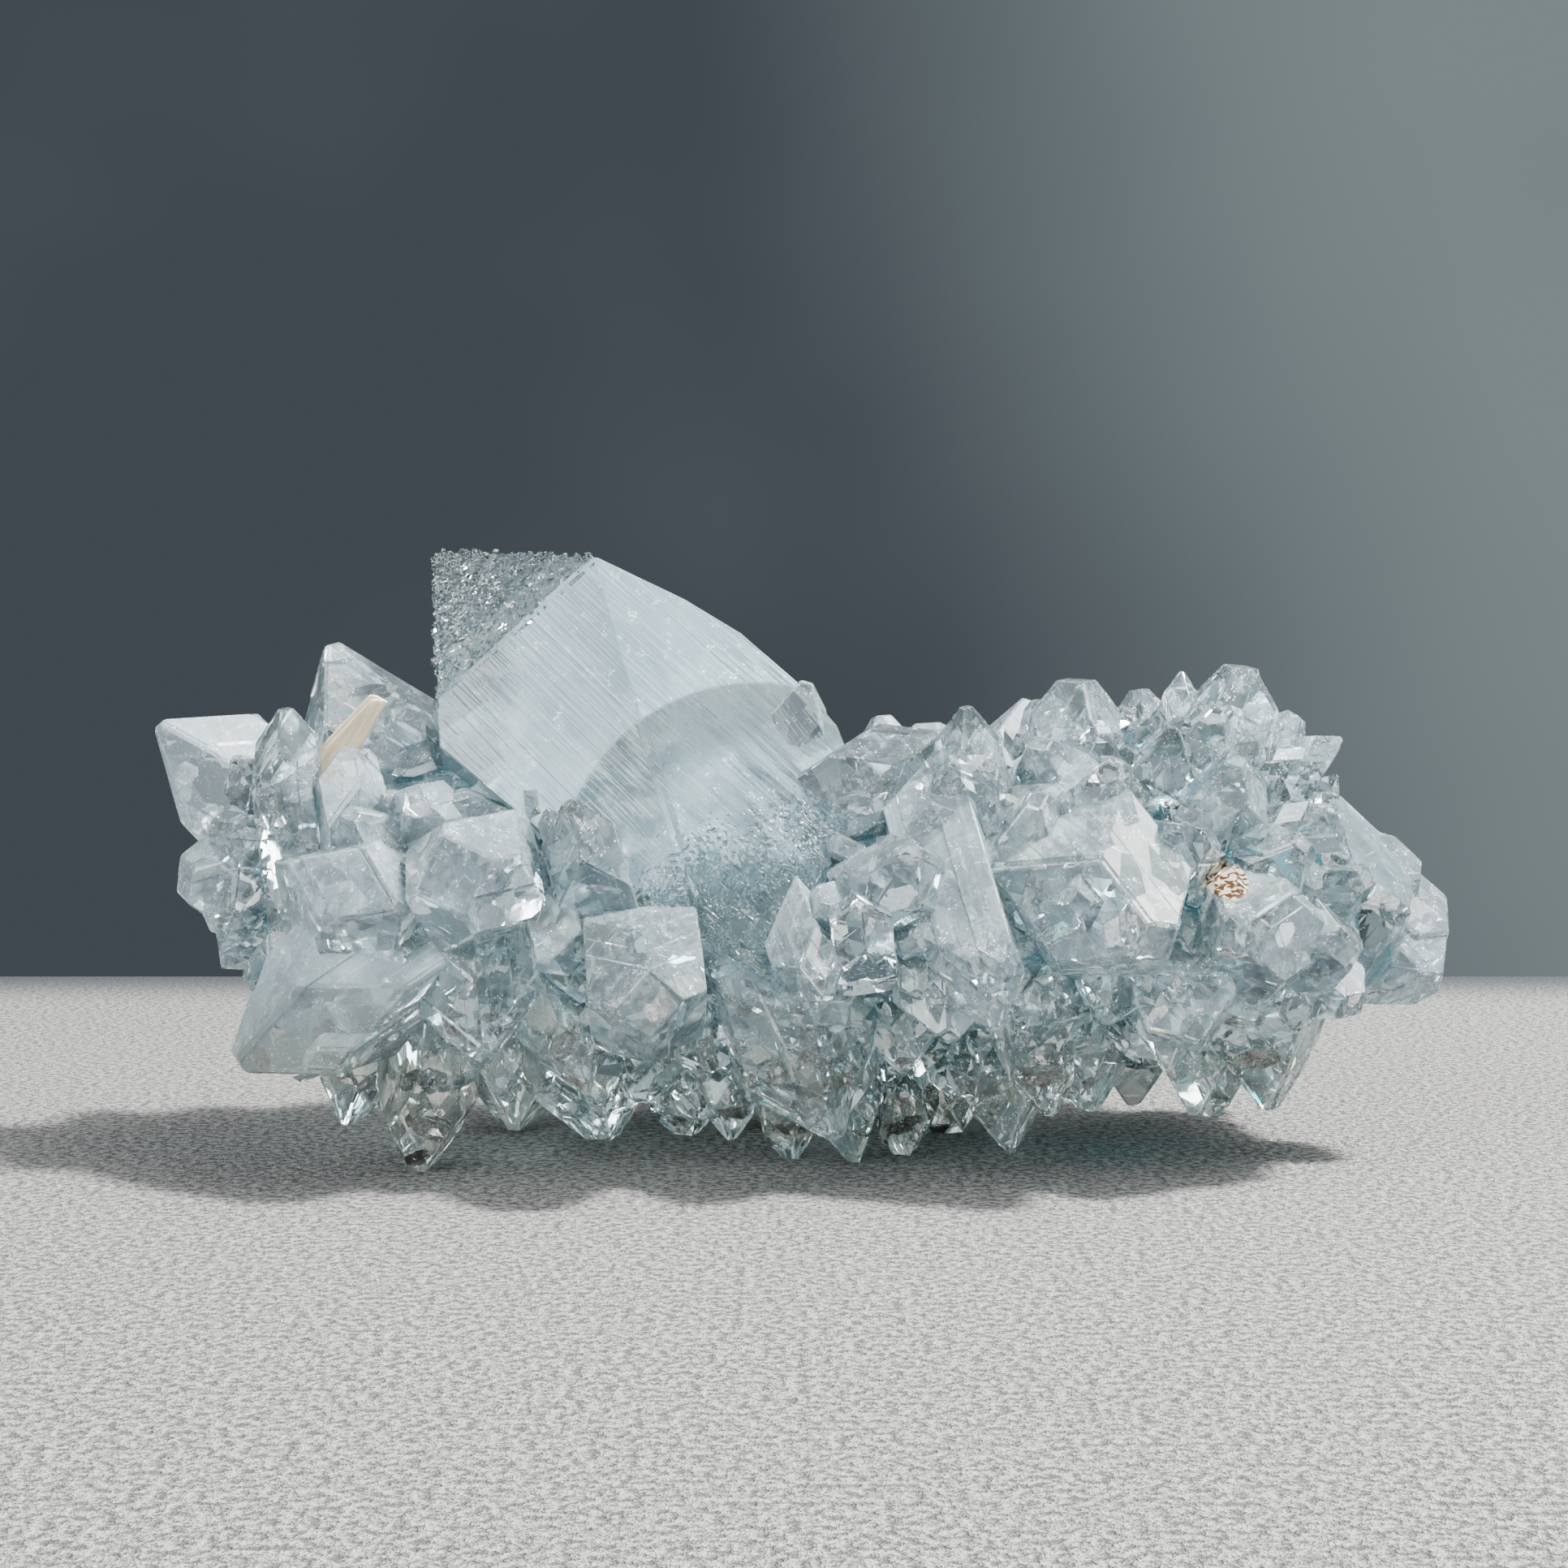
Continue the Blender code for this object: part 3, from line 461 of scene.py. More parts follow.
# ================ the cluster's crystals
class Crystal:
    """One crystal of the cluster, by the solid part's rule: its place, size, and uneven sides and pyramid."""

    def __init__(self, tip, aim, width, spin, blunt, length, chance):
        self.tip, self.aim, self.width, self.spin = tip, aim, width, spin
        self.blunt, self.length = blunt, length
        self.sides = [width * (1 + chance.uniform(-PRISM_UNEVENNESS, PRISM_UNEVENNESS)) for _ in "xy"]
        self.backs = [chance.uniform(-TIP_UNEVENNESS, 0.0) * width * MM for _ in range(4)]


def roots_at(x):
    rows = np.array(ROOT_STATIONS)
    return [float(np.interp(x, rows[:, 0], rows[:, column])) for column in (1, 2, 3)]


def roots_spot(share, turn):
    """A spot on the roots this far along and this far round, and the way that it faces."""
    left, right = ROOT_STATIONS[0], ROOT_STATIONS[-1]
    x = left[0] + share * (right[0] - left[0])
    y, z, radius = roots_at(x)
    ahead = roots_at(x + 0.5)[2] - roots_at(x - 0.5)[2]
    around = Vector((-ahead, math.sin(turn) / ROOT_DEPTH, math.cos(turn)))
    point = Vector((x, y + radius * ROOT_DEPTH * math.sin(turn), z + radius * math.cos(turn)))
    return point, around.normalized()


def end_spot(side, chance):
    """A spot on one end of the roots, and the way that it faces."""
    x, y, z, radius = ROOT_STATIONS[0] if side < 0 else ROOT_STATIONS[-1]
    turn, out = chance.uniform(0, math.tau), math.sqrt(chance.random())
    across = Vector((0, ROOT_DEPTH * math.sin(turn), math.cos(turn))) * out
    return Vector((x, y, z)) + across * radius, (Vector((side, 0, 0)) + across).normalized()


def has_room(tip):
    """Whether a crystal of the cover may end here."""
    rows = np.array(COVER_ROOM)
    outside = max((tip - Vector(point)).dot(Vector(normal)) for point, normal in BIG_CRYSTAL_FACES)
    if outside < BIG_CRYSTAL_MARGIN or not rows[0, 0] < tip.x < rows[-1, 0]:
        return False
    low = np.interp(tip.x, rows[:, 0], rows[:, 1]) + COVER_CLEARANCE * max(0.0, -tip.y)
    return low < tip.z < np.interp(tip.x, rows[:, 0], rows[:, 2])


def cover_crystals(chance):
    """The crystals that cover the roots, drawn in the same order as for the solid part."""
    tips, crystals = [Vector(row[0]) for row in MAIN_CRYSTALS], []
    for round_number, (spacing, widths, reaches) in enumerate(COVER_ROUNDS):
        is_broad = round_number < len(COVER_ROUNDS) - 1
        for attempt in range(COVER_TRIES):
            at_end = attempt % END_EVERY == 0
            if at_end:
                spot, normal = end_spot(-1 if attempt % (2 * END_EVERY) else 1, chance)
            else:
                spot, normal = roots_spot(chance.random(), attempt * GOLDEN_TURN)
            reach = chance.uniform(*reaches)
            aim = normal + Vector([chance.uniform(-LEAN, LEAN) for _ in "xyz"])
            tip = spot + aim.normalized() * reach
            if is_broad and normal.y < BROAD_ROUNDS_FROM and not at_end:
                continue
            if not has_room(tip) or min((tip - other).length for other in tips) < spacing:
                continue
            tips.append(tip)
            width = chance.uniform(*widths)
            spin, blunt = chance.uniform(0, 90), chance.choice(COVER_BLUNTS)
            crystals.append(Crystal(tip, aim, width, spin, blunt, reach + COVER_ROOT * width, chance))
    return crystals


def growth_plate(crystal, own, long_way, top):
    """A thin plate grown on the crystal: wider than it one way, narrower the other, and no higher."""
    wide, narrow = 1 + own.uniform(*PLATE_RISE), own.uniform(*PLATE_WIDTH)
    sides = [side * (wide if way == long_way else narrow) for way, side in enumerate(crystal.sides)]
    middle = [0.0, 0.0]
    middle[1 - long_way] = own.uniform(-1, 1) * crystal.sides[1 - long_way] * (1 - narrow) / 2
    backs = [back + own.uniform(*PLATE_BACK) * crystal.width * MM for back in crystal.backs]
    return crystal_solid(sides, backs, 0, crystal.length, middle, top)[0], (0, 0, -top)


def side_tip(crystal, own, top):
    """A smaller tip beside the crystal's own."""
    share, turn = own.uniform(*SIDE_TIP_WIDTH), own.uniform(0, math.tau)
    sides = [side * share * own.uniform(*SIDE_TIP_SHAPE) for side in crystal.sides]
    ways = math.cos(turn), math.sin(turn)
    reach = SIDE_TIP_REACH / max(abs(ways[0]), abs(ways[1]), 0.01)
    shift = [
        max(-1.0, min(1.0, reach * way)) * (SIDE_TIP_OUT * side - sub) / 2 * MM
        for way, side, sub in zip(ways, crystal.sides, sides)
    ]
    backs = [own.uniform(-SIDE_TIP_UNEVENNESS, 0.0) * crystal.width * MM for _ in range(4)]
    blunt = own.uniform(*SIDE_TIP_BLUNT) * crystal.width * share
    drop = own.uniform(*SIDE_TIP_DROP) * crystal.width * MM
    return crystal_solid(sides, backs, blunt, crystal.length)[0], (*shift, -drop - top)


def add_grown_crystal(crystal, number, cloud, settings, collection):
    """A crystal with the thin plates and side tips that grew on it in the same direction, as solids to join."""
    own = random.Random(SEEDS["crystal"] + number)
    tone = own.random()
    matrix = HOME @ place(crystal.tip, crystal.aim, crystal.spin)
    axis = matrix.to_3x3() @ Vector((0, 0, 1))
    bm, top = crystal_solid(crystal.sides, crystal.backs, crystal.blunt * crystal.width, crystal.length)
    solids = [(bm, (0.0, 0.0, -top))]
    solids += [growth_plate(crystal, own, plate % 2, top) for plate in range(settings.growth_plates)]
    solids += [side_tip(crystal, own, top) for _ in range(own.choice(SIDE_TIP_COUNTS))]
    for index, (bm, shift) in enumerate(solids):
        bmesh.ops.translate(bm, vec=shift, verts=bm.verts)
        mark_faces(bm, wear_edges(bm, settings.edge_wear * crystal.width / WEAR_WIDTH), axis, cloud, tone)
        add_solid(bm, f"crystal_{number:03d}_{index}", collection, matrix)


def corner_back():
    """The back of the clear corner's plate, as a plane."""
    point, normal = BIG_CRYSTAL_FACES[ETCHED_FACE]
    out = Vector(normal).normalized()
    return Vector(point) - out * CORNER_PLATE, -out


def big_crystal_solid(raised=None, lift=0.0, extra=()):
    """The big crystal between its faces; one face may stand proud by lift (mm), between extra planes."""
    side = 2 * BIG_CRYSTAL_BLOCK
    bm = block((side, side, side), BIG_CRYSTAL_CENTRE)
    for index, (point, normal) in enumerate(BIG_CRYSTAL_FACES):
        out = Vector(normal).normalized()
        cut_face(bm, (Vector(point) + out * (lift if index == raised else 0.0)) * MM, out)
    for point, normal in extra:
        cut_face(bm, Vector(point) * MM, Vector(normal).normalized())
    return bm


def add_big_crystal(settings, collection):
    own = random.Random(SEEDS["grooves"])
    axis = Vector(BIG_CRYSTAL_AXIS).normalized()

    def keep(bm, name, wear, corner=0.0):
        mark_faces(bm, wear_edges(bm, wear * MM), axis, BIG_CLOUD, large=1.0, corner=corner)
        add_solid(bm, name, collection, HOME)

    keep(big_crystal_solid(extra=[CORNER_PLANE]), "big_crystal", BIG_WEAR)
    point, normal = CORNER_PLANE
    lap = (Vector(point) - Vector(normal) * CORNER_LAP, -Vector(normal))
    keep(big_crystal_solid(extra=[corner_back(), lap]), "big_crystal_corner", BIG_WEAR, corner=1.0)
    for face in (LEFT_FRONT_FACE, RIGHT_FRONT_FACE):
        normal = Vector(BIG_CRYSTAL_FACES[face][1]).normalized()
        along = (axis - normal * axis.dot(normal)).normalized()
        for groove in range(settings.grooves):
            lift, planes = groove_planes(own, along, normal.cross(along))
            bm = big_crystal_solid(face, lift, planes)
            if len(bm.faces) < 4:
                bm.free()
                continue
            keep(bm, f"groove_{face}_{groove:03d}", GROOVE_WEAR)
    add_arch(keep)


def groove_planes(own, along, across):
    """How far a raised band on a front face stands proud (mm), and the planes that it lies between."""
    middle = Vector(GROOVES_MIDDLE)
    start = own.uniform(-GROOVE_ASIDE, GROOVE_ASIDE)
    wide = own.choice(GROOVE_WIDTHS) * own.uniform(0.8, 1.2)
    reach = own.uniform(-GROOVE_ALONG, GROOVE_ALONG)
    length, lift = own.uniform(*GROOVE_LENGTH), own.uniform(*GROOVE_LIFT)
    return lift, [
        CORNER_PLANE,
        (middle + across * (start + wide), across),
        (middle + across * start, -across),
        (middle + along * (reach + length / 2), along + across * own.uniform(-GROOVE_SLANT, GROOVE_SLANT)),
        (middle + along * (reach - length / 2), -along + across * own.uniform(-GROOVE_SLANT, GROOVE_SLANT)),
    ]


def add_arch(keep):
    """The part of the big crystal inside the arch, which stands a little proud."""
    rim = []
    for step in range(ARCH_SIDES):
        turn = math.radians(ARCH_FROM + (ARCH_TO - ARCH_FROM) * step / (ARCH_SIDES - 1))
        way = Vector((math.cos(turn), 0, math.sin(turn)))
        rim.append((Vector((ARCH_CENTRE[0], 0, ARCH_CENTRE[1])) + way * ARCH_RADIUS, way))
    for face in (LEFT_FRONT_FACE, RIGHT_FRONT_FACE):
        keep(big_crystal_solid(face, ARCH_LIFT, rim), f"arch_{face}", ARCH_WEAR)


# ================ grounds and forms of the fine growth
def face_ground(bm, normal, name, sink=0.04):
    """The face of the solid that looks this way, a little sunk (mm), as a ground for etching."""
    out = Vector(normal).normalized()
    away = [face for face in bm.faces if face.normal.dot(out) < 0.999]
    bmesh.ops.delete(bm, geom=away, context="FACES")
    bmesh.ops.translate(bm, vec=-out * sink * MM, verts=bm.verts)
    bmesh.ops.transform(bm, matrix=HOME, verts=bm.verts)
    return mesh_of(bm, name)


def edge_ground(points, out, width, name):
    """A narrow band along a worn edge (mm), as a ground for beads."""
    bm = bmesh.new()
    out = Vector(out).normalized()
    rows = []
    for index, point in enumerate(points):
        ahead = Vector(points[min(index + 1, len(points) - 1)]) - Vector(points[max(index - 1, 0)])
        aside = ahead.cross(out).normalized() * width / 2
        rows.append([bm.verts.new((Vector(point) + side * aside) * MM) for side in (-1, 1)])
    for low, high in zip(rows, rows[1:]):
        bm.faces.new((low[0], low[1], high[1], high[0]))
    bm.normal_update()
    if sum((face.normal for face in bm.faces), Vector()).dot(out) < 0:
        bmesh.ops.reverse_faces(bm, faces=bm.faces)
    bmesh.ops.transform(bm, matrix=HOME, verts=bm.verts)
    return mesh_of(bm, name)


def roots_mesh(grow=0.0, resolution=3, trim=False):
    """The mass that the roots make together, grown by this much (mm), with or without its ends."""
    stations = ROOT_STATIONS[1:-1] if trim else ROOT_STATIONS
    data = bpy.data.curves.new("roots", "CURVE")
    data.dimensions = "3D"
    data.bevel_depth = MM
    data.bevel_resolution = resolution
    data.use_fill_caps = True
    spline = data.splines.new("POLY")
    spline.points.add(len(stations) - 1)
    for point, (x, y, z, radius) in zip(spline.points, stations):
        point.co = (x * MM, y * MM, z * MM, 1)
        point.radius = radius + grow
    curve = add_object("root_curve", data)
    mesh = evaluated_mesh(curve)
    bpy.data.objects.remove(curve)
    bm = bmesh_of(mesh)
    bpy.data.meshes.remove(mesh)
    bmesh.ops.remove_doubles(bm, verts=bm.verts, dist=10 * TINY)
    bmesh.ops.scale(bm, vec=(1, ROOT_DEPTH, 1), verts=bm.verts)
    bmesh.ops.transform(bm, matrix=HOME, verts=bm.verts)
    mark_faces(bm, cloud=ROOTS_CLOUD)
    return finish_mesh(bm, "roots")


def small_ground():
    """The ground of the small crystals: round the roots, and clear of the big crystal."""
    bm = bmesh_of(roots_mesh(GROUND_RISE, resolution=6, trim=True))
    planes = [(HOME @ (Vector(point) * MM), Vector(normal).normalized()) for point, normal in BIG_CRYSTAL_FACES]
    near = [
        face for face in bm.faces
        if max((face.calc_center_median() - point).dot(out) for point, out in planes) < GROUND_MARGIN * MM
    ]
    bmesh.ops.delete(bm, geom=near, context="FACES")
    return mesh_of(bm, "small_ground")


def small_forms(collection):
    """The small crystals, 1 mm wide and pointing along +Z, with their roots below the ground."""
    own = random.Random(SEEDS["small"])
    for number, (blunt, flat) in enumerate(SMALL_FORMS):
        backs = [own.uniform(-0.1, 0) * MM for _ in range(4)]
        bm, top = crystal_solid((flat, 1 / max(flat, 0.8)), backs, blunt, SMALL_LENGTH)
        bmesh.ops.translate(bm, vec=(0, 0, SMALL_TOP * MM - top), verts=bm.verts)
        add_solid(bm, f"small_form_{number}", collection)


def etch_forms(collection):
    """The hillocks of the etched corner: low tilted pyramids, 1 mm wide."""
    own = random.Random(SEEDS["hillocks"])
    for number in range(4):
        bm = block((1.0, own.uniform(0.6, 1.0), 1.0), (0, 0, -0.35))
        for quarter in range(4):
            azimuth = math.radians(90 * quarter + own.uniform(-HILLOCK_TURN, HILLOCK_TURN))
            lean = math.radians(own.uniform(*HILLOCK_LEAN))
            cut_face(bm, Vector((0, 0, HILLOCK_TOP * MM)), leaning(azimuth, lean))
        mark_faces(bm, large=1.0, corner=1.0)
        add_solid(bm, f"hillock_{number}", collection)


def bead_forms(collection):
    """The beads on the big crystal's worn edges, 1 mm wide."""
    own = random.Random(SEEDS["beads"])
    for number in range(3):
        bm = bmesh.new()
        bmesh.ops.create_icosphere(bm, subdivisions=1, radius=0.5 * MM)
        for vert in bm.verts:
            vert.co *= own.uniform(0.8, 1.1)
        mark_faces(bm, cloud=BEAD_CLOUD, large=1.0, corner=1.0)
        add_solid(bm, f"bead_{number}", collection)


def crack_forms(collection):
    """The cracks: thin plates 1 mm wide with broken outlines."""
    own = random.Random(SEEDS["cracks"])
    for number in range(4):
        bm = bmesh.new()
        bmesh.ops.create_cone(
            bm, cap_ends=True, segments=CRACK_SIDES, radius1=0.5 * MM, radius2=0.5 * MM, depth=CRACK_THICKNESS * MM)
        for corner in range(CRACK_SIDES):
            stretch, turn = own.uniform(*CRACK_STRETCH), corner * math.tau / CRACK_SIDES
            for vert in bm.verts:
                if vert.co.xy.normalized().dot((math.cos(turn), math.sin(turn))) > 0.99:
                    vert.co.xy *= stretch
        crack = bm.faces.layers.float.new("crack")
        for face in bm.faces:
            face[crack] = 1.0
        add_solid(bm, f"crack_{number}", collection)


# ================ node trees
class Wire:
    """A socket in a node tree, or the tree alone. Sums with it add Math nodes."""

    def __init__(self, tree, socket=None):
        self.tree, self.socket = tree, socket

    def node(self, kind, settings=None, sockets=None, output=0):
        """Any node: its type, its settings, the values or wires of its sockets, and the output wanted."""
        made = self.tree.nodes.new(kind)
        for name, value in (settings or {}).items():
            setattr(made, name, value)
        for key, value in (sockets or {}).items():
            for one in value if isinstance(value, list) else [value]:
                if isinstance(one, Wire):
                    self.tree.links.new(one.socket, made.inputs[key])
                else:
                    made.inputs[key].default_value = one
        return Wire(self.tree, made.outputs[output] if len(made.outputs) else None)

    def beside(self, output):
        """Another output of the same node."""
        return Wire(self.tree, self.socket.node.outputs[output])

    def math(self, operation, *values):
        return self.node("ShaderNodeMath", {"operation": operation}, dict(enumerate((self, *values))))

    def __add__(self, other):
        return self.math("ADD", other)

    __radd__ = __add__

    def __sub__(self, other):
        return self.math("SUBTRACT", other)

    def __rsub__(self, other):
        return self.node("ShaderNodeMath", {"operation": "SUBTRACT"}, {0: other, 1: self})

    def __mul__(self, other):
        return self.math("MULTIPLY", other)

    __rmul__ = __mul__

    def absolute(self):
        return self.math("ABSOLUTE")

    def held(self):
        """The value kept between 0 and 1."""
        return self.node("ShaderNodeClamp", {}, {"Value": self})

    def ramp(self, low, high, to_low=0.0, to_high=1.0):
        """A smooth rise from to_low at low to to_high at high."""
        return self.node(
            "ShaderNodeMapRange", {"interpolation_type": "SMOOTHSTEP"},
            {"Value": self, "From Min": low, "From Max": high, "To Min": to_low, "To Max": to_high})

    def vector(self, operation, *values, output=0):
        sockets = dict(enumerate((self, *values)))
        return self.node("ShaderNodeVectorMath", {"operation": operation}, sockets, output)

    def dot(self, other):
        return self.vector("DOT_PRODUCT", other, output="Value")

    def cross(self, other):
        return self.vector("CROSS_PRODUCT", other)

    def minus(self, other):
        return self.vector("SUBTRACT", other)

    def scaled(self, factor):
        return self.node("ShaderNodeVectorMath", {"operation": "SCALE"}, {0: self, "Scale": factor})

    def distance(self, centre, weights):
        """How far a place is from the centre, with the axes weighted."""
        return self.minus(centre).vector("MULTIPLY", weights).vector("LENGTH", output="Value")

    def noise(self, scale, detail=3.0, roughness=0.5, dimensions="3D"):
        return self.node(
            "ShaderNodeTexNoise", {"noise_dimensions": dimensions},
            {"Vector": self, "Scale": scale, "Detail": detail, "Roughness": roughness})

    def tilted_cells(self):
        """A mosaic of cells in X and Y, each a flat that tilts its own way, as a height."""
        tilt = self.node(
            "ShaderNodeTexVoronoi", {"feature": "F1", "voronoi_dimensions": "2D"}, {"Vector": self, "Scale": 1.0},
            "Color")
        return self.minus(tilt.beside("Position")).dot(tilt.minus((0.5, 0.5, 0.5)))

    def mixed(self, first, second):
        """The two colours mixed by this value."""
        return self.node("ShaderNodeMix", {"data_type": "RGBA"}, {"Factor": self, 6: first, 7: second}, 2)


def together(wire, x, y, z):
    return wire.node("ShaderNodeCombineXYZ", {}, {"X": x, "Y": y, "Z": z})


def coated(colour, *coats):
    """The colour under others, each given with its share."""
    for share, coat in coats:
        colour = share.mixed(colour, coat)
    return colour


# ---------------- Geometry Nodes
def new_growth(name, **inputs):
    """A Geometry Nodes tree as a wire, and its inputs as wires by name: the geometry, and those given by kind."""
    tree = bpy.data.node_groups.new(name, "GeometryNodeTree")
    tree.is_modifier = True
    for way in ("INPUT", "OUTPUT"):
        tree.interface.new_socket("Geometry", in_out=way, socket_type="NodeSocketGeometry")
    for title, kind in inputs.items():
        tree.interface.new_socket(title, in_out="INPUT", socket_type="NodeSocket" + kind)
    given = tree.nodes.new("NodeGroupInput").outputs
    return Wire(tree), {socket.name: Wire(tree, socket) for socket in given if socket.name}


def scattered(w, given, sockets, density):
    """Spots on a mesh with the given spacing."""
    return w.node(
        "GeometryNodeDistributePointsOnFaces", {"distribute_method": "POISSON"},
        {**sockets, "Distance Min": given["Spacing"], "Density Max": density, "Seed": given["Seed"]}, "Points")


def standing_forms(w, given, points, rotation, size):
    """The collection's forms standing on the points, each tilted and turned by chance."""
    most = together(w, given["Tilt"], given["Tilt"], math.pi)
    lean = w.node(
        "FunctionNodeRandomValue", {"data_type": "FLOAT_VECTOR"},
        {0: most.scaled(-1.0), 1: most, "Seed": given["Seed"]})
    turned = w.node(
        "FunctionNodeRotateRotation", {"rotation_space": "LOCAL"}, {"Rotation": rotation, "Rotate By": lean})
    forms = w.node(
        "GeometryNodeCollectionInfo", {},
        {"Collection": given["Forms"], "Separate Children": True, "Reset Children": True})
    return w.node(
        "GeometryNodeInstanceOnPoints", {},
        {"Points": points, "Instance": forms, "Pick Instance": True, "Rotation": turned, "Scale": size})


def growth_tree():
    """Grows small crystals out of a ground and joins them to the geometry."""
    w, given = new_growth(
        "small_crystal_growth", Ground="Object", Forms="Collection", Spacing="Float", Smallest="Float",
        Largest="Float", Tilt="Float", Seed="Int", Material="Material")
    ground = w.node(
        "GeometryNodeObjectInfo", {"transform_space": "ORIGINAL"}, {"Object": given["Ground"]}, "Geometry")
    spots = scattered(w, given, {"Mesh": ground}, 4.0e6)
    share = w.node("FunctionNodeRandomValue", {"data_type": "FLOAT"}, {"Seed": given["Seed"]}, 1)
    size = w.node(
        "ShaderNodeMapRange", {},
        {"Value": share.math("POWER", 1.8), "To Min": given["Smallest"], "To Max": given["Largest"]})
    grown = standing_forms(w, given, spots, spots.beside("Rotation"), size)
    joined = w.node(
        "GeometryNodeMeshBoolean", {"operation": "UNION", "solver": "MANIFOLD"},
        {"Mesh 2": [given["Geometry"], grown]})
    real = w.node("GeometryNodeRealizeInstances", {}, {"Geometry": joined})
    painted = w.node("GeometryNodeSetMaterial", {}, {"Geometry": real, "Material": given["Material"]})
    w.node("NodeGroupOutput", {}, {"Geometry": painted})
    return w.tree


def crack_tree():
    """Cuts thin flat cracks below the faces, most of them square to the way that each crystal grew."""
    w, given = new_growth(
        "cleavage_cracks", Forms="Collection", Spacing="Float", Shallowest="Float", Deepest="Float",
        Smallest="Float", Largest="Float", Tilt="Float", Seed="Int")

    def between(low, high):
        return w.node(
            "FunctionNodeRandomValue", {"data_type": "FLOAT"},
            {2: given[low], 3: given[high], "Seed": given["Seed"]}, 1)

    def mark(name, kind):
        return w.node("GeometryNodeInputNamedAttribute", {"data_type": kind}, {"Name": name})

    ordinary = w.node("FunctionNodeCompare", {"operation": "LESS_THAN"}, {0: mark("large", "FLOAT"), 1: 0.5})
    spots = scattered(w, given, {"Mesh": given["Geometry"], "Selection": ordinary}, 2.0e6)
    inward = spots.beside("Normal").scaled(between("Shallowest", "Deepest") * -1.0)
    sunk = w.node("GeometryNodeSetPosition", {}, {"Geometry": spots, "Offset": inward})
    axis = mark("growth_axis", "FLOAT_VECTOR")
    flat = w.node("FunctionNodeAlignRotationToVector", {"axis": "Z"}, {"Vector": axis})
    cracks = standing_forms(w, given, sunk, flat, between("Smallest", "Largest"))
    cut = w.node(
        "GeometryNodeMeshBoolean", {"operation": "DIFFERENCE", "solver": "MANIFOLD"},
        {"Mesh 1": given["Geometry"], "Mesh 2": cracks})
    real = w.node("GeometryNodeRealizeInstances", {}, {"Geometry": cut})
    w.node("NodeGroupOutput", {}, {"Geometry": real})
    return w.tree


def add_growth(obj, tree, **inputs):
    """Adds the tree to the object, with its inputs set by the sockets' identifiers."""
    modifier = obj.modifiers.new(tree.name, "NODES")
    modifier.node_group = tree
    identifiers = {item.name: item.identifier for item in tree.interface.items_tree if item.in_out == "INPUT"}
    for name, value in inputs.items():
        modifier[identifiers[name.capitalize()]] = value


# ================ materials
def new_material(name):
    material = bpy.data.materials.new(name)
    material.use_nodes = True
    material.node_tree.nodes.clear()
    return material, Wire(material.node_tree)


def read_crystal(w):
    """What the apophyllite material reads: the crystal's marks, its directions, and patterns in mm."""
    def mark(name, output="Fac"):
        return w.node("ShaderNodeAttribute", {"attribute_type": "GEOMETRY", "attribute_name": name}, {}, output)

    names = ("cloud", "tone", "large", "corner", "worn_edge", "crack", "crevice")
    c = SimpleNamespace(**{name: mark(name) for name in names})
    c.mm = w.node("ShaderNodeTexCoord", output="Object").scaled(1 / MM)
    c.x, c.y, c.z = (c.mm.dot(way) for way in ((1.0, 0.0, 0.0), (0.0, 1.0, 0.0), (0.0, 0.0, 1.0)))
    axis = mark("growth_axis", "Vector")
    facing = w.node("ShaderNodeNewGeometry", output="True Normal")
    c.prism = 1 - facing.dot(axis).absolute().ramp(0.15, 0.40)  # 1 on sides, 0 on tips
    c.aside, c.along = c.mm.dot(axis.cross(facing)), c.mm.dot(axis)
    c.etched = c.corner * facing.dot((0.0, -1.0, 0.0)).ramp(0.1, 0.3)

    # patches, veils, flecks and specks inside, and grooves along the growth
    for name, shape in PATTERNS.items():
        setattr(c, name, c.mm.noise(*shape))
    c.streaks = together(w, c.aside * 2.6 + c.tone * 40, c.along * 0.10, 0.0).noise(1.0, 2.0, 0.65, "2D")

    # painted cast shadow: the large crystal is clearer and darker in a band inside its arch; along its lower edge it is
    # broken up, and painted darker as shade
    radius = c.mm.distance((ARCH_CENTRE[0] + HOME_STEP[0], 0.0, ARCH_CENTRE[1] + HOME_STEP[2]), (1, 0, 1))
    # painted cast shadow: a band inside the arch's rim
    c.band = radius.ramp(ARCH_RADIUS + 0.2, ARCH_RADIUS - 0.2) * radius.ramp(8.0, 11.5, 0.45, 1.0)
    # the low edge of the large crystal: broken up, clearer, and painted darker as shade
    c.low_part = (c.mm.dot((0.35, 0.0, -0.94)) + c.patches * 8.0 - 4.0 + c.flecks * 8.0 - 4.0).ramp(-26.5, -24.0)

    # painted shade in crevices between crystals and towards the underside, and the iron stain
    # painted shade in crevices, from the ray-cast crevice mark
    c.gap = c.crevice.ramp(0.22, 0.70) * (1 - c.large * 0.5)
    # painted shade: darker towards the underside, from 17 mm down to 7 mm
    c.underside = c.z.ramp(17.0, 7.0)
    c.stain = c.mm.distance(STAIN_SPOT, STAIN_SHAPE).ramp(1.45, 1.15)
    return c


def crystal_relief(w, c):
    """A mosaic of slightly tilted flats, and on the large crystal its fine grooves, as a bump."""
    fineness = 0.8 + c.corner * 1.9
    spots = together(w, (c.aside + c.tone * 40) * fineness, c.along * fineness * (0.45 + 0.5 * c.large), 0.0)
    broken = c.low_part * c.large * c.flecks.ramp(0.40, 0.60, 0.4, 2.2)
    hillocks = c.etched * c.flecks.ramp(0.49, 0.56, 0.3, 8.0)
    height = spots.tilted_cells() * (1.7 - 1.45 * c.large + broken + hillocks)
    height = height + c.streaks * (c.large - c.corner) * 0.16
    return w.node("ShaderNodeBump", {}, {"Strength": 1.0, "Distance": RELIEF, "Height": height})


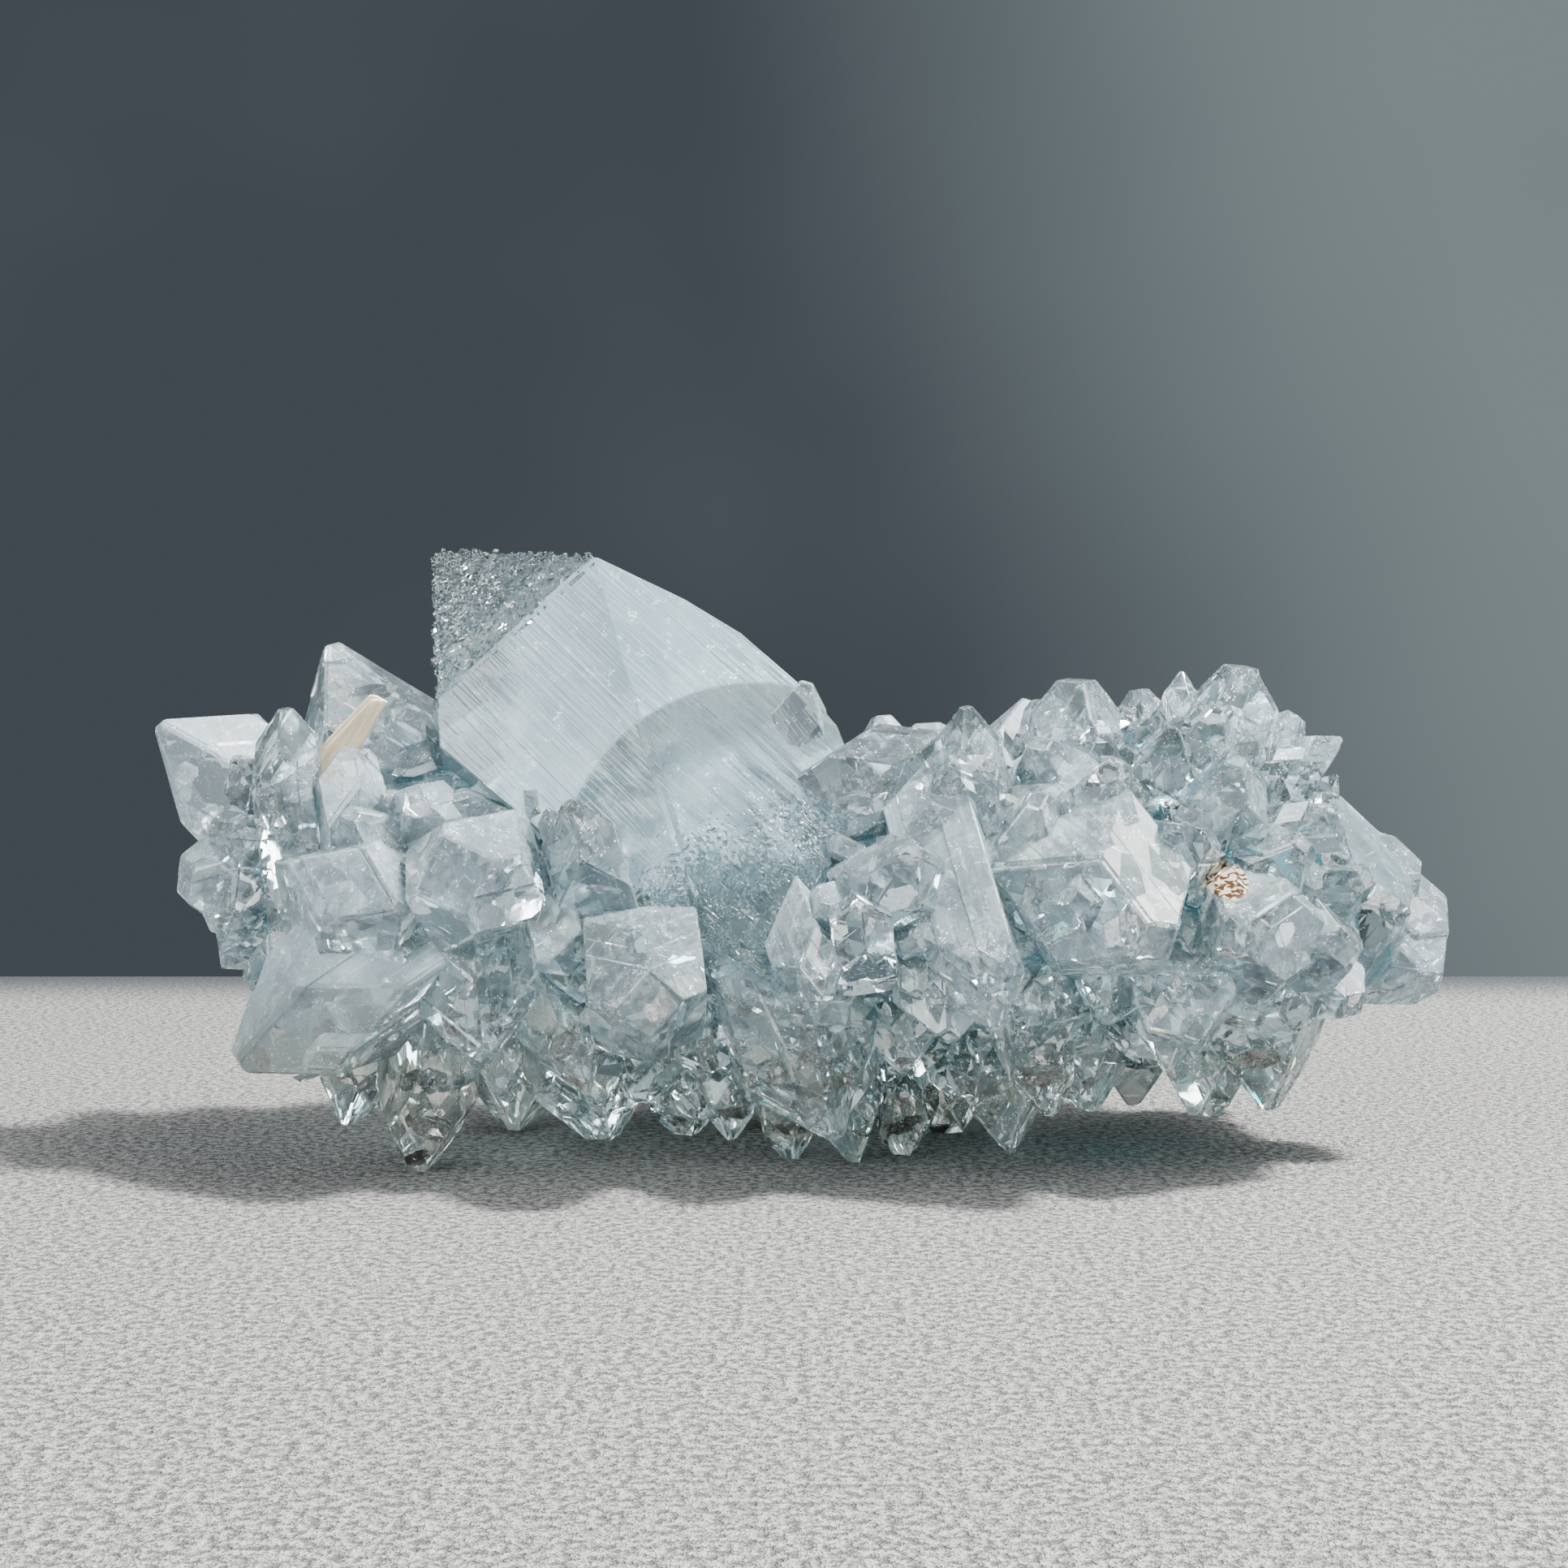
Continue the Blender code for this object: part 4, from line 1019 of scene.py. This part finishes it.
def crystal_milk(c):
    """How much of the surface is milky, white and frosted; the white holds frost, worn edges painted partly as
    highlights, and specks and flecks painted as glints.
    """
    # painted glints: white specks on the ordinary crystals, and in clusters on the large one
    white = c.specks.ramp(0.66, 0.72) * c.veils.ramp(0.50, 0.62) * (1 - c.large)
    white = white + c.specks.ramp(0.60, 0.66) * c.veils.ramp(0.60, 0.68) * (c.large - c.corner)
    # painted sparkles: white flecks on the etched corner
    white = white + c.etched * c.flecks.ramp(0.58, 0.62)
    frost = c.crack * c.veils.ramp(0.45, 0.62)

    # crystals are milky where they meet and at the back, but not at the ends of the cluster
    rooted = (c.mm.distance((0.0, 1.0, 20.0), (0.0, 0.8, 1.0)) + c.veils * 6.0 - 3.0).ramp(16.0, 10.0) * 0.22
    rooted = (rooted + c.y.ramp(4.0, 14.0) * 0.45) * c.x.absolute().ramp(44.0, 30.0) * (1 - c.large)

    # the large crystal is clearer in its parts: the arch band (a painted cast shadow), low edge, corner, left edge and
    # grooves
    grooves = c.streaks.ramp(0.50, 0.42) * c.x.ramp(-8.0, -3.0)
    clearer = (1 - c.band * 0.80) * (1 - c.low_part * 0.90) * (1 - c.corner * 0.95)
    clearer = clearer * (1 - c.x.ramp(-21.0, -24.0) * 0.60) * (1 - grooves * 0.7)

    milk = c.cloud * (0.80 + 0.3 * c.patches) + c.veils.ramp(0.50, 0.75) * 0.10
    milk = milk + c.streaks.ramp(0.5, 0.7) * (c.prism * 0.16 + c.large * 0.10) + white * 0.8
    milk = (milk + rooted) * (1 - c.large + c.large * clearer)
    # worn edges turn milky white: partly real wear, partly a painted highlight
    milk = (milk + c.worn_edge * 0.85) * (1 - c.crack) + frost * 0.32 + c.stain * 0.8
    return milk.held(), (white + c.worn_edge + frost).held()


def apophyllite_material(settings):
    """Clear crystal and milky crystal, mixed by what is marked on the faces, with a tint in the depth."""
    material, w = new_material("apophyllite")
    c = read_crystal(w)
    bump = crystal_relief(w, c)
    milk, white = crystal_milk(c)
    clear = w.node("ShaderNodeBsdfPrincipled", {}, {
        "Base Color": coated(
            # painted shade: dark teal at the large crystal's low edge
            c.patches.ramp(0.35, 0.65).mixed(*CLEAR_TINTS), (c.low_part * c.large * 0.8, LOW_PART_SHADE_TINT),
            # painted cast shadow: darker in the arch band
            (c.corner * 0.7, CORNER_TINT), (c.band * c.large * 0.7, ARCH_SHADOW_TINT),
            # painted shade: darker towards the underside and in crevices
            (c.underside * 0.8, UNDERSIDE_SHADE_TINT), (c.gap * 0.85, CREVICE_SHADE_TINT)),
        "Roughness": c.veils.ramp(0.62, 0.80, 0.02, 0.07), "IOR": IOR, "Transmission Weight": 1.0, "Normal": bump,
    })
    vein = (c.veils - 0.5).absolute().ramp(0.07, 0.03) * c.stain
    # the white coat below is frost, worn edges partly painted as highlights, and specks painted as glints
    milky = w.node("ShaderNodeBsdfPrincipled", {}, {
        "Base Color": coated(
            c.patches.ramp(0.3, 0.7).mixed(*MILK_COLOURS), (c.large * 0.8, LARGE_MILK),
            # painted shade: darker towards the underside and in crevices
            (c.underside * 0.8, UNDERSIDE_SHADE_MILK), (c.gap * 0.85, CREVICE_SHADE_MILK), (white, WHITE_FROST_AND_GLINT),
            (c.stain, STAIN_MILK), (vein, STAIN_VEIN)),
        "Roughness": MILK_ROUGHNESS, "IOR": IOR, "Transmission Weight": MILK_TRANSMISSION, "Normal": bump,
    })
    surface = w.node("ShaderNodeMixShader", {}, {0: milk, 1: clear, 2: milky})
    volume = w.node(
        "ShaderNodeVolumeAbsorption", {}, {"Color": (*settings.depth_tint, 1), "Density": settings.depth_density})
    w.node("ShaderNodeOutputMaterial", {}, {"Surface": surface, "Volume": volume})
    return material


def stilbite_material():
    material, w = new_material("stilbite")
    mm = w.node("ShaderNodeTexCoord", output="Object").scaled(1 / MM)
    streaks = together(w, mm.dot(BLADE_ACROSS) * 3.0, mm.dot(BLADE_ALONG) * 0.3, 0.0).noise(1.0, 4.0, 0.6)
    bump = w.node("ShaderNodeBump", {}, {"Strength": 1.0, "Distance": BLADE_RELIEF, "Height": streaks})
    surface = w.node("ShaderNodeBsdfPrincipled", {}, {
        "Base Color": streaks.ramp(0.35, 0.7).mixed(*BLADE_COLOURS), "Roughness": 0.32, "Normal": bump,
        "Subsurface Weight": 0.5, "Subsurface Scale": MM, "Subsurface Radius": (1.0, 0.8, 0.6),
    })
    w.node("ShaderNodeOutputMaterial", {}, {"Surface": surface})
    return material


def floor_material(floor_colour):
    """Plaster with a fine grain, dark towards its far edge."""
    material, w = new_material("plaster_floor")
    mm = w.node("ShaderNodeTexCoord", output="Object").scaled(1 / MM)
    grain = mm.noise(1.6, 3.0, 0.75)
    tones = [(*(min(1, tone * part) for part in floor_colour), 1) for tone in FLOOR_TONES]
    far = mm.dot((0.0, 1.0, 0.0)).ramp(FLOOR_FADE / MM, FLOOR_END / MM)
    colour = far.mixed(grain.ramp(0.40, 0.60).mixed(*tones), FLOOR_END_COLOUR)
    bump = w.node("ShaderNodeBump", {}, {"Strength": 1.0, "Distance": FLOOR_RELIEF, "Height": grain})
    surface = w.node("ShaderNodeBsdfPrincipled", {}, {"Base Color": colour, "Roughness": 0.85, "Normal": bump})
    w.node("ShaderNodeOutputMaterial", {}, {"Surface": surface})
    return material


# ================ finishing the cluster's mesh
def close_mesh(mesh):
    """Splits the mesh into triangles without slivers, and deletes the flaps that this leaves."""
    bm = bmesh_of(mesh)
    bmesh.ops.triangulate(bm, faces=bm.faces)
    bmesh.ops.dissolve_degenerate(bm, dist=TINY, edges=bm.edges)
    flaps = [face for face in bm.faces if any(edge.is_boundary for edge in face.edges)]
    bmesh.ops.delete(bm, geom=flaps, context="FACES")
    bm.to_mesh(mesh)
    bm.free()


def mark_crevices(mesh):
    """Writes on each corner point how much of what it faces is close by, from 0 to 1, which the material uses to paint
    shade in crevices.
    """
    bm = bmesh_of(mesh)
    tree = BVHTree.FromBMesh(bm)
    ways = []
    for step in range(CREVICE_RAYS):
        lean = math.acos(1 - 2 * (step + 0.5) / CREVICE_RAYS)
        ways.append(leaning(step * GOLDEN_TURN, lean))
    shares, reach = [], CREVICE_REACH * MM
    for vert in bm.verts:
        start, closed_off, total = vert.co + vert.normal * CREVICE_START * MM, 0.0, 0.0
        for way in ways:
            lift = way.dot(vert.normal)
            distance = tree.ray_cast(start, way if lift > 0 else -way, reach)[3]
            total += abs(lift)
            if distance is not None:
                closed_off += abs(lift) * (1 - distance / reach)
        shares.append(closed_off / max(total, TINY))
    bm.free()
    mesh.attributes.new("crevice", "FLOAT", "POINT").data.foreach_set("value", shares)


# ================ settings
def distance_setting(name, description, default):
    return FloatProperty(
        name=name, description=description, default=default, subtype="DISTANCE", unit="LENGTH", precision=5)


def power_setting(name, description, default):
    return FloatProperty(name=name, description=description, default=default, unit="POWER")


def colour_setting(name, description, default):
    return FloatVectorProperty(
        name=name, description=description, default=default, subtype="COLOR", min=0, max=1)


class SpecimenSettings(bpy.types.PropertyGroup):
    growth_plates: IntProperty(
        name="Growth plates", description="Thin plates grown on each crystal", default=4, min=0)
    edge_wear: distance_setting("Edge wear", "Width of the worn edges of a 7 mm crystal", 0.14 * MM)
    grooves: IntProperty(
        name="Grooves", description="Raised bands along each front face of the big crystal", default=45, min=0)
    small_spacing: distance_setting(
        "Small crystals' spacing", "Least distance between the small crystals", 2.2 * MM)
    crack_spacing: distance_setting("Cracks' spacing", "Least distance between the cleavage cracks", 3.6 * MM)
    depth_tint: colour_setting("Tint", "Colour of thick apophyllite", (0.70, 0.90, 0.92))
    depth_density: FloatProperty(
        name="Tint density", description="How fast the crystals take that colour with depth", default=14.0)


class StageSettings(bpy.types.PropertyGroup):
    floor_colour: colour_setting("Floor", "Colour of the floor", (0.223, 0.221, 0.216))
    key_power: power_setting("Key light", "Power of the key light", 21.0)
    halo_power: power_setting("Halo", "Power of the broad light round the key light", 7.0)
    fill_power: power_setting("Fill light", "Power of the light from the left", 5.2)
    dome_strength: FloatProperty(name="Dome", description="Brightness of the soft light overhead", default=0.92, min=0)


# ================ operators
class SPECIMEN_OT_grow_crystals(bpy.types.Operator):
    """Grows the cluster of apophyllite crystals as one solid"""

    bl_idname = "specimen.grow_crystals"
    bl_label = "Apophyllite Crystals"

    def execute(self, context):
        settings = context.scene.specimen
        piece = add_object("apophyllite_crystals", self.grow_body(settings))
        material = apophyllite_material(settings)
        mesh = self.grow_details(piece, material, settings)
        close_mesh(mesh)
        mark_crevices(mesh)
        mesh.materials.clear()
        mesh.materials.append(material)
        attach(piece, "root")
        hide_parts(CLUSTER)
        return {"FINISHED"}

    def grow_body(self, settings):
        """The crystals that the solid part has, joined with the roots to one mesh."""
        crystals = make_collection("crystals")
        chance = random.Random(SEEDS["cover"])
        main = [Crystal(*row, chance) for row in MAIN_CRYSTALS]
        add_big_crystal(settings, crystals)
        own = random.Random(SEEDS["cloud"])
        for number, crystal in enumerate(main + cover_crystals(chance)):
            cloud = MILKY.get(number, own.uniform(*CLOUDINESS))
            add_grown_crystal(crystal, number, cloud, settings, crystals)
        roots = add_object("roots", roots_mesh())
        body = join_solids(roots, crystals)
        clear_collection(crystals)
        bpy.data.objects.remove(roots)
        return body

    def grow_details(self, piece, material, settings):
        """Grows the fine forms on the piece, cuts its cracks and its feet, and returns its plain mesh."""
        collections, grounds, tree = [], [], growth_tree()

        def make(make_forms):
            collections.append(make_collection(make_forms.__name__))
            make_forms(collections[-1])
            return collections[-1]

        def grow(make_forms, ground_mesh, **inputs):
            grounds.append(add_object("ground", ground_mesh))
            add_growth(piece, tree, ground=grounds[-1], forms=make(make_forms), material=material, **inputs)

        grow(small_forms, small_ground(), spacing=settings.small_spacing, **SMALL_GROWTH)
        corner = Vector(BIG_CRYSTAL_FACES[ETCHED_FACE][1])
        grow(etch_forms, face_ground(big_crystal_solid(), corner, "etched_corner"), **ETCHING)
        for number, (points, out) in enumerate(WORN_EDGES):
            grow(bead_forms, edge_ground(points, out, BEAD_BAND, "worn_edge"), seed=BEAD_SEED + number, **BEADS)
        add_growth(piece, crack_tree(), forms=make(crack_forms), spacing=settings.crack_spacing, **CRACKS)
        below = add_object("below", finish_mesh(block(*BELOW), "below"))
        foot = piece.modifiers.new("foot", "BOOLEAN")
        foot.operation, foot.object, foot.solver = "DIFFERENCE", below, "MANIFOLD"

        mesh = evaluated_mesh(piece)
        piece.modifiers.clear()
        old, piece.data = piece.data, mesh
        bpy.data.meshes.remove(old)
        for obj in (below, *grounds):
            bpy.data.objects.remove(obj)
        for collection in collections:
            clear_collection(collection)
        return mesh


class SPECIMEN_OT_add_blade(bpy.types.Operator):
    """Adds the stilbite blade between the crystals of the left end"""

    bl_idname = "specimen.add_blade"
    bl_label = "Stilbite Blade"

    def execute(self, context):
        piece = add_solid(self.tablet(*TABLETS[0]), "stilbite_blade_tablets", None, HOME)
        tablets = make_collection("tablets")
        for row in TABLETS[1:]:
            add_solid(self.tablet(*row), "tablet", tablets, HOME)
        mesh = join_solids(piece, tablets)
        clear_collection(tablets)
        piece.modifiers.clear()
        piece.data = mesh
        mesh.materials.clear()
        mesh.materials.append(stilbite_material())
        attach(piece, "root")
        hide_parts(BLADE)
        return {"FINISHED"}

    def tablet(self, share, thick, shift, drop):
        """One tablet of the blade, in its place."""
        width, thickness, length = BLADE_SIZE
        bm = block((width * share, thickness * thick, length), (0, thickness * shift, length / 2))
        bmesh.ops.transform(bm, matrix=place(BLADE_FOOT, BLADE_AIM, BLADE_SPIN), verts=bm.verts)
        for point, normal in TABLET_CUTS:
            out = Vector(normal).normalized()
            cut_face(bm, (Vector(point) - out * drop) * MM, out)
        wear_edges(bm, TABLET_WEAR * MM)
        return bm


class SPECIMEN_OT_set_stage(bpy.types.Operator):
    """Sets the floor, the backdrop, the lights and the camera"""

    bl_idname = "specimen.set_stage"
    bl_label = "Floor, Lights and Camera"

    def execute(self, context):
        settings = context.scene.specimen_stage
        bm = bmesh.new()
        bmesh.ops.create_grid(bm, x_segments=1, y_segments=1, size=1.0)
        bmesh.ops.scale(bm, vec=(*FLOOR_HALF, 1), verts=bm.verts)
        bmesh.ops.translate(bm, vec=(0, FLOOR_END - FLOOR_HALF[1], 0), verts=bm.verts)
        floor = add_object("floor", finish_mesh(bm, "floor"))
        floor.data.materials.append(floor_material(settings.floor_colour))
        self.add_backdrop(context.scene, settings)
        self.add_light("key", KEY_SPOT, KEY_SIZE, settings.key_power, SUN_COLOUR)
        self.add_light("halo", KEY_SPOT, HALO_SIZE, settings.halo_power, SUN_COLOUR)
        self.add_light("fill", FILL_SPOT, FILL_SIZE, settings.fill_power, FILL_COLOUR)
        self.add_camera(context.scene)
        return {"FINISHED"}

    def add_backdrop(self, scene, settings):
        """A plain slate backdrop, lighter to the right, below a soft white dome."""
        world = bpy.data.worlds.new("slate_backdrop")
        world.use_nodes = True
        world.cycles.sampling_method = "NONE"  # it is too even to gain from samples of its own
        world.node_tree.nodes.clear()
        w = Wire(world.node_tree)
        direction = w.node("ShaderNodeTexCoord", output="Generated")
        right = direction.dot((1.0, 0.0, 0.35)).ramp(0.02, 0.34)
        right = (right + direction.noise(5.0, 2.0, 0.5) * 0.35 - 0.17).held()
        dome = (*(settings.dome_strength * share for share in DOME_COLOUR), 1)
        overhead = direction.dot((0.0, 0.0, 1.0)).ramp(0.38, 0.75)
        colour = overhead.mixed(right.mixed(*BACKDROP_COLOURS), dome)
        back = w.node("ShaderNodeBackground", {}, {"Color": colour, "Strength": 1.0})
        w.node("ShaderNodeOutputWorld", {}, {"Surface": back})
        scene.world = world

    def add_light(self, name, spot, size, power, colour):
        light = bpy.data.lights.new(name, "AREA")
        light.shape, light.size, light.energy, light.color = "DISK", size, power, colour
        obj = add_object(name, light)
        obj.location = spot
        obj.rotation_euler = (Vector(LIGHTS_AIM) - Vector(spot)).to_track_quat("-Z", "Y").to_euler()

    def add_camera(self, scene):
        camera = bpy.data.cameras.new("camera")
        camera.lens, camera.sensor_width = CAMERA_LENS, CAMERA_SENSOR
        camera.clip_start, camera.clip_end = CAMERA_CLIP
        obj = add_object("camera", camera)
        obj.location = [step * MM for step in CAMERA_SPOT]
        obj.rotation_euler = (math.radians(CAMERA_TILT), 0, 0)
        scene.camera = obj
        scene.view_settings.look = VIEW_LOOK


class SPECIMEN_PT_panel(bpy.types.Panel):
    """Lists the specimen's pieces in the sidebar"""

    bl_label = "Apophyllite Cluster"
    bl_idname = "SPECIMEN_PT_panel"
    bl_space_type = "VIEW_3D"
    bl_region_type = "UI"
    bl_category = "Specimen"

    def draw(self, context):
        for cls in OPERATORS:
            self.layout.operator(cls.bl_idname)


OPERATORS = (SPECIMEN_OT_grow_crystals, SPECIMEN_OT_add_blade, SPECIMEN_OT_set_stage)
CLASSES = (SpecimenSettings, StageSettings, *OPERATORS, SPECIMEN_PT_panel)


def register():
    for cls in CLASSES:
        bpy.utils.register_class(cls)
    bpy.types.Scene.specimen = PointerProperty(type=SpecimenSettings)
    bpy.types.Scene.specimen_stage = PointerProperty(type=StageSettings)


def unregister():
    del bpy.types.Scene.specimen_stage
    del bpy.types.Scene.specimen
    for cls in reversed(CLASSES):
        bpy.utils.unregister_class(cls)


def main():
    register()
    bpy.ops.specimen.grow_crystals()
    bpy.ops.specimen.add_blade()
    bpy.ops.specimen.set_stage()
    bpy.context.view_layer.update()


if __name__ == "__main__":
    main()
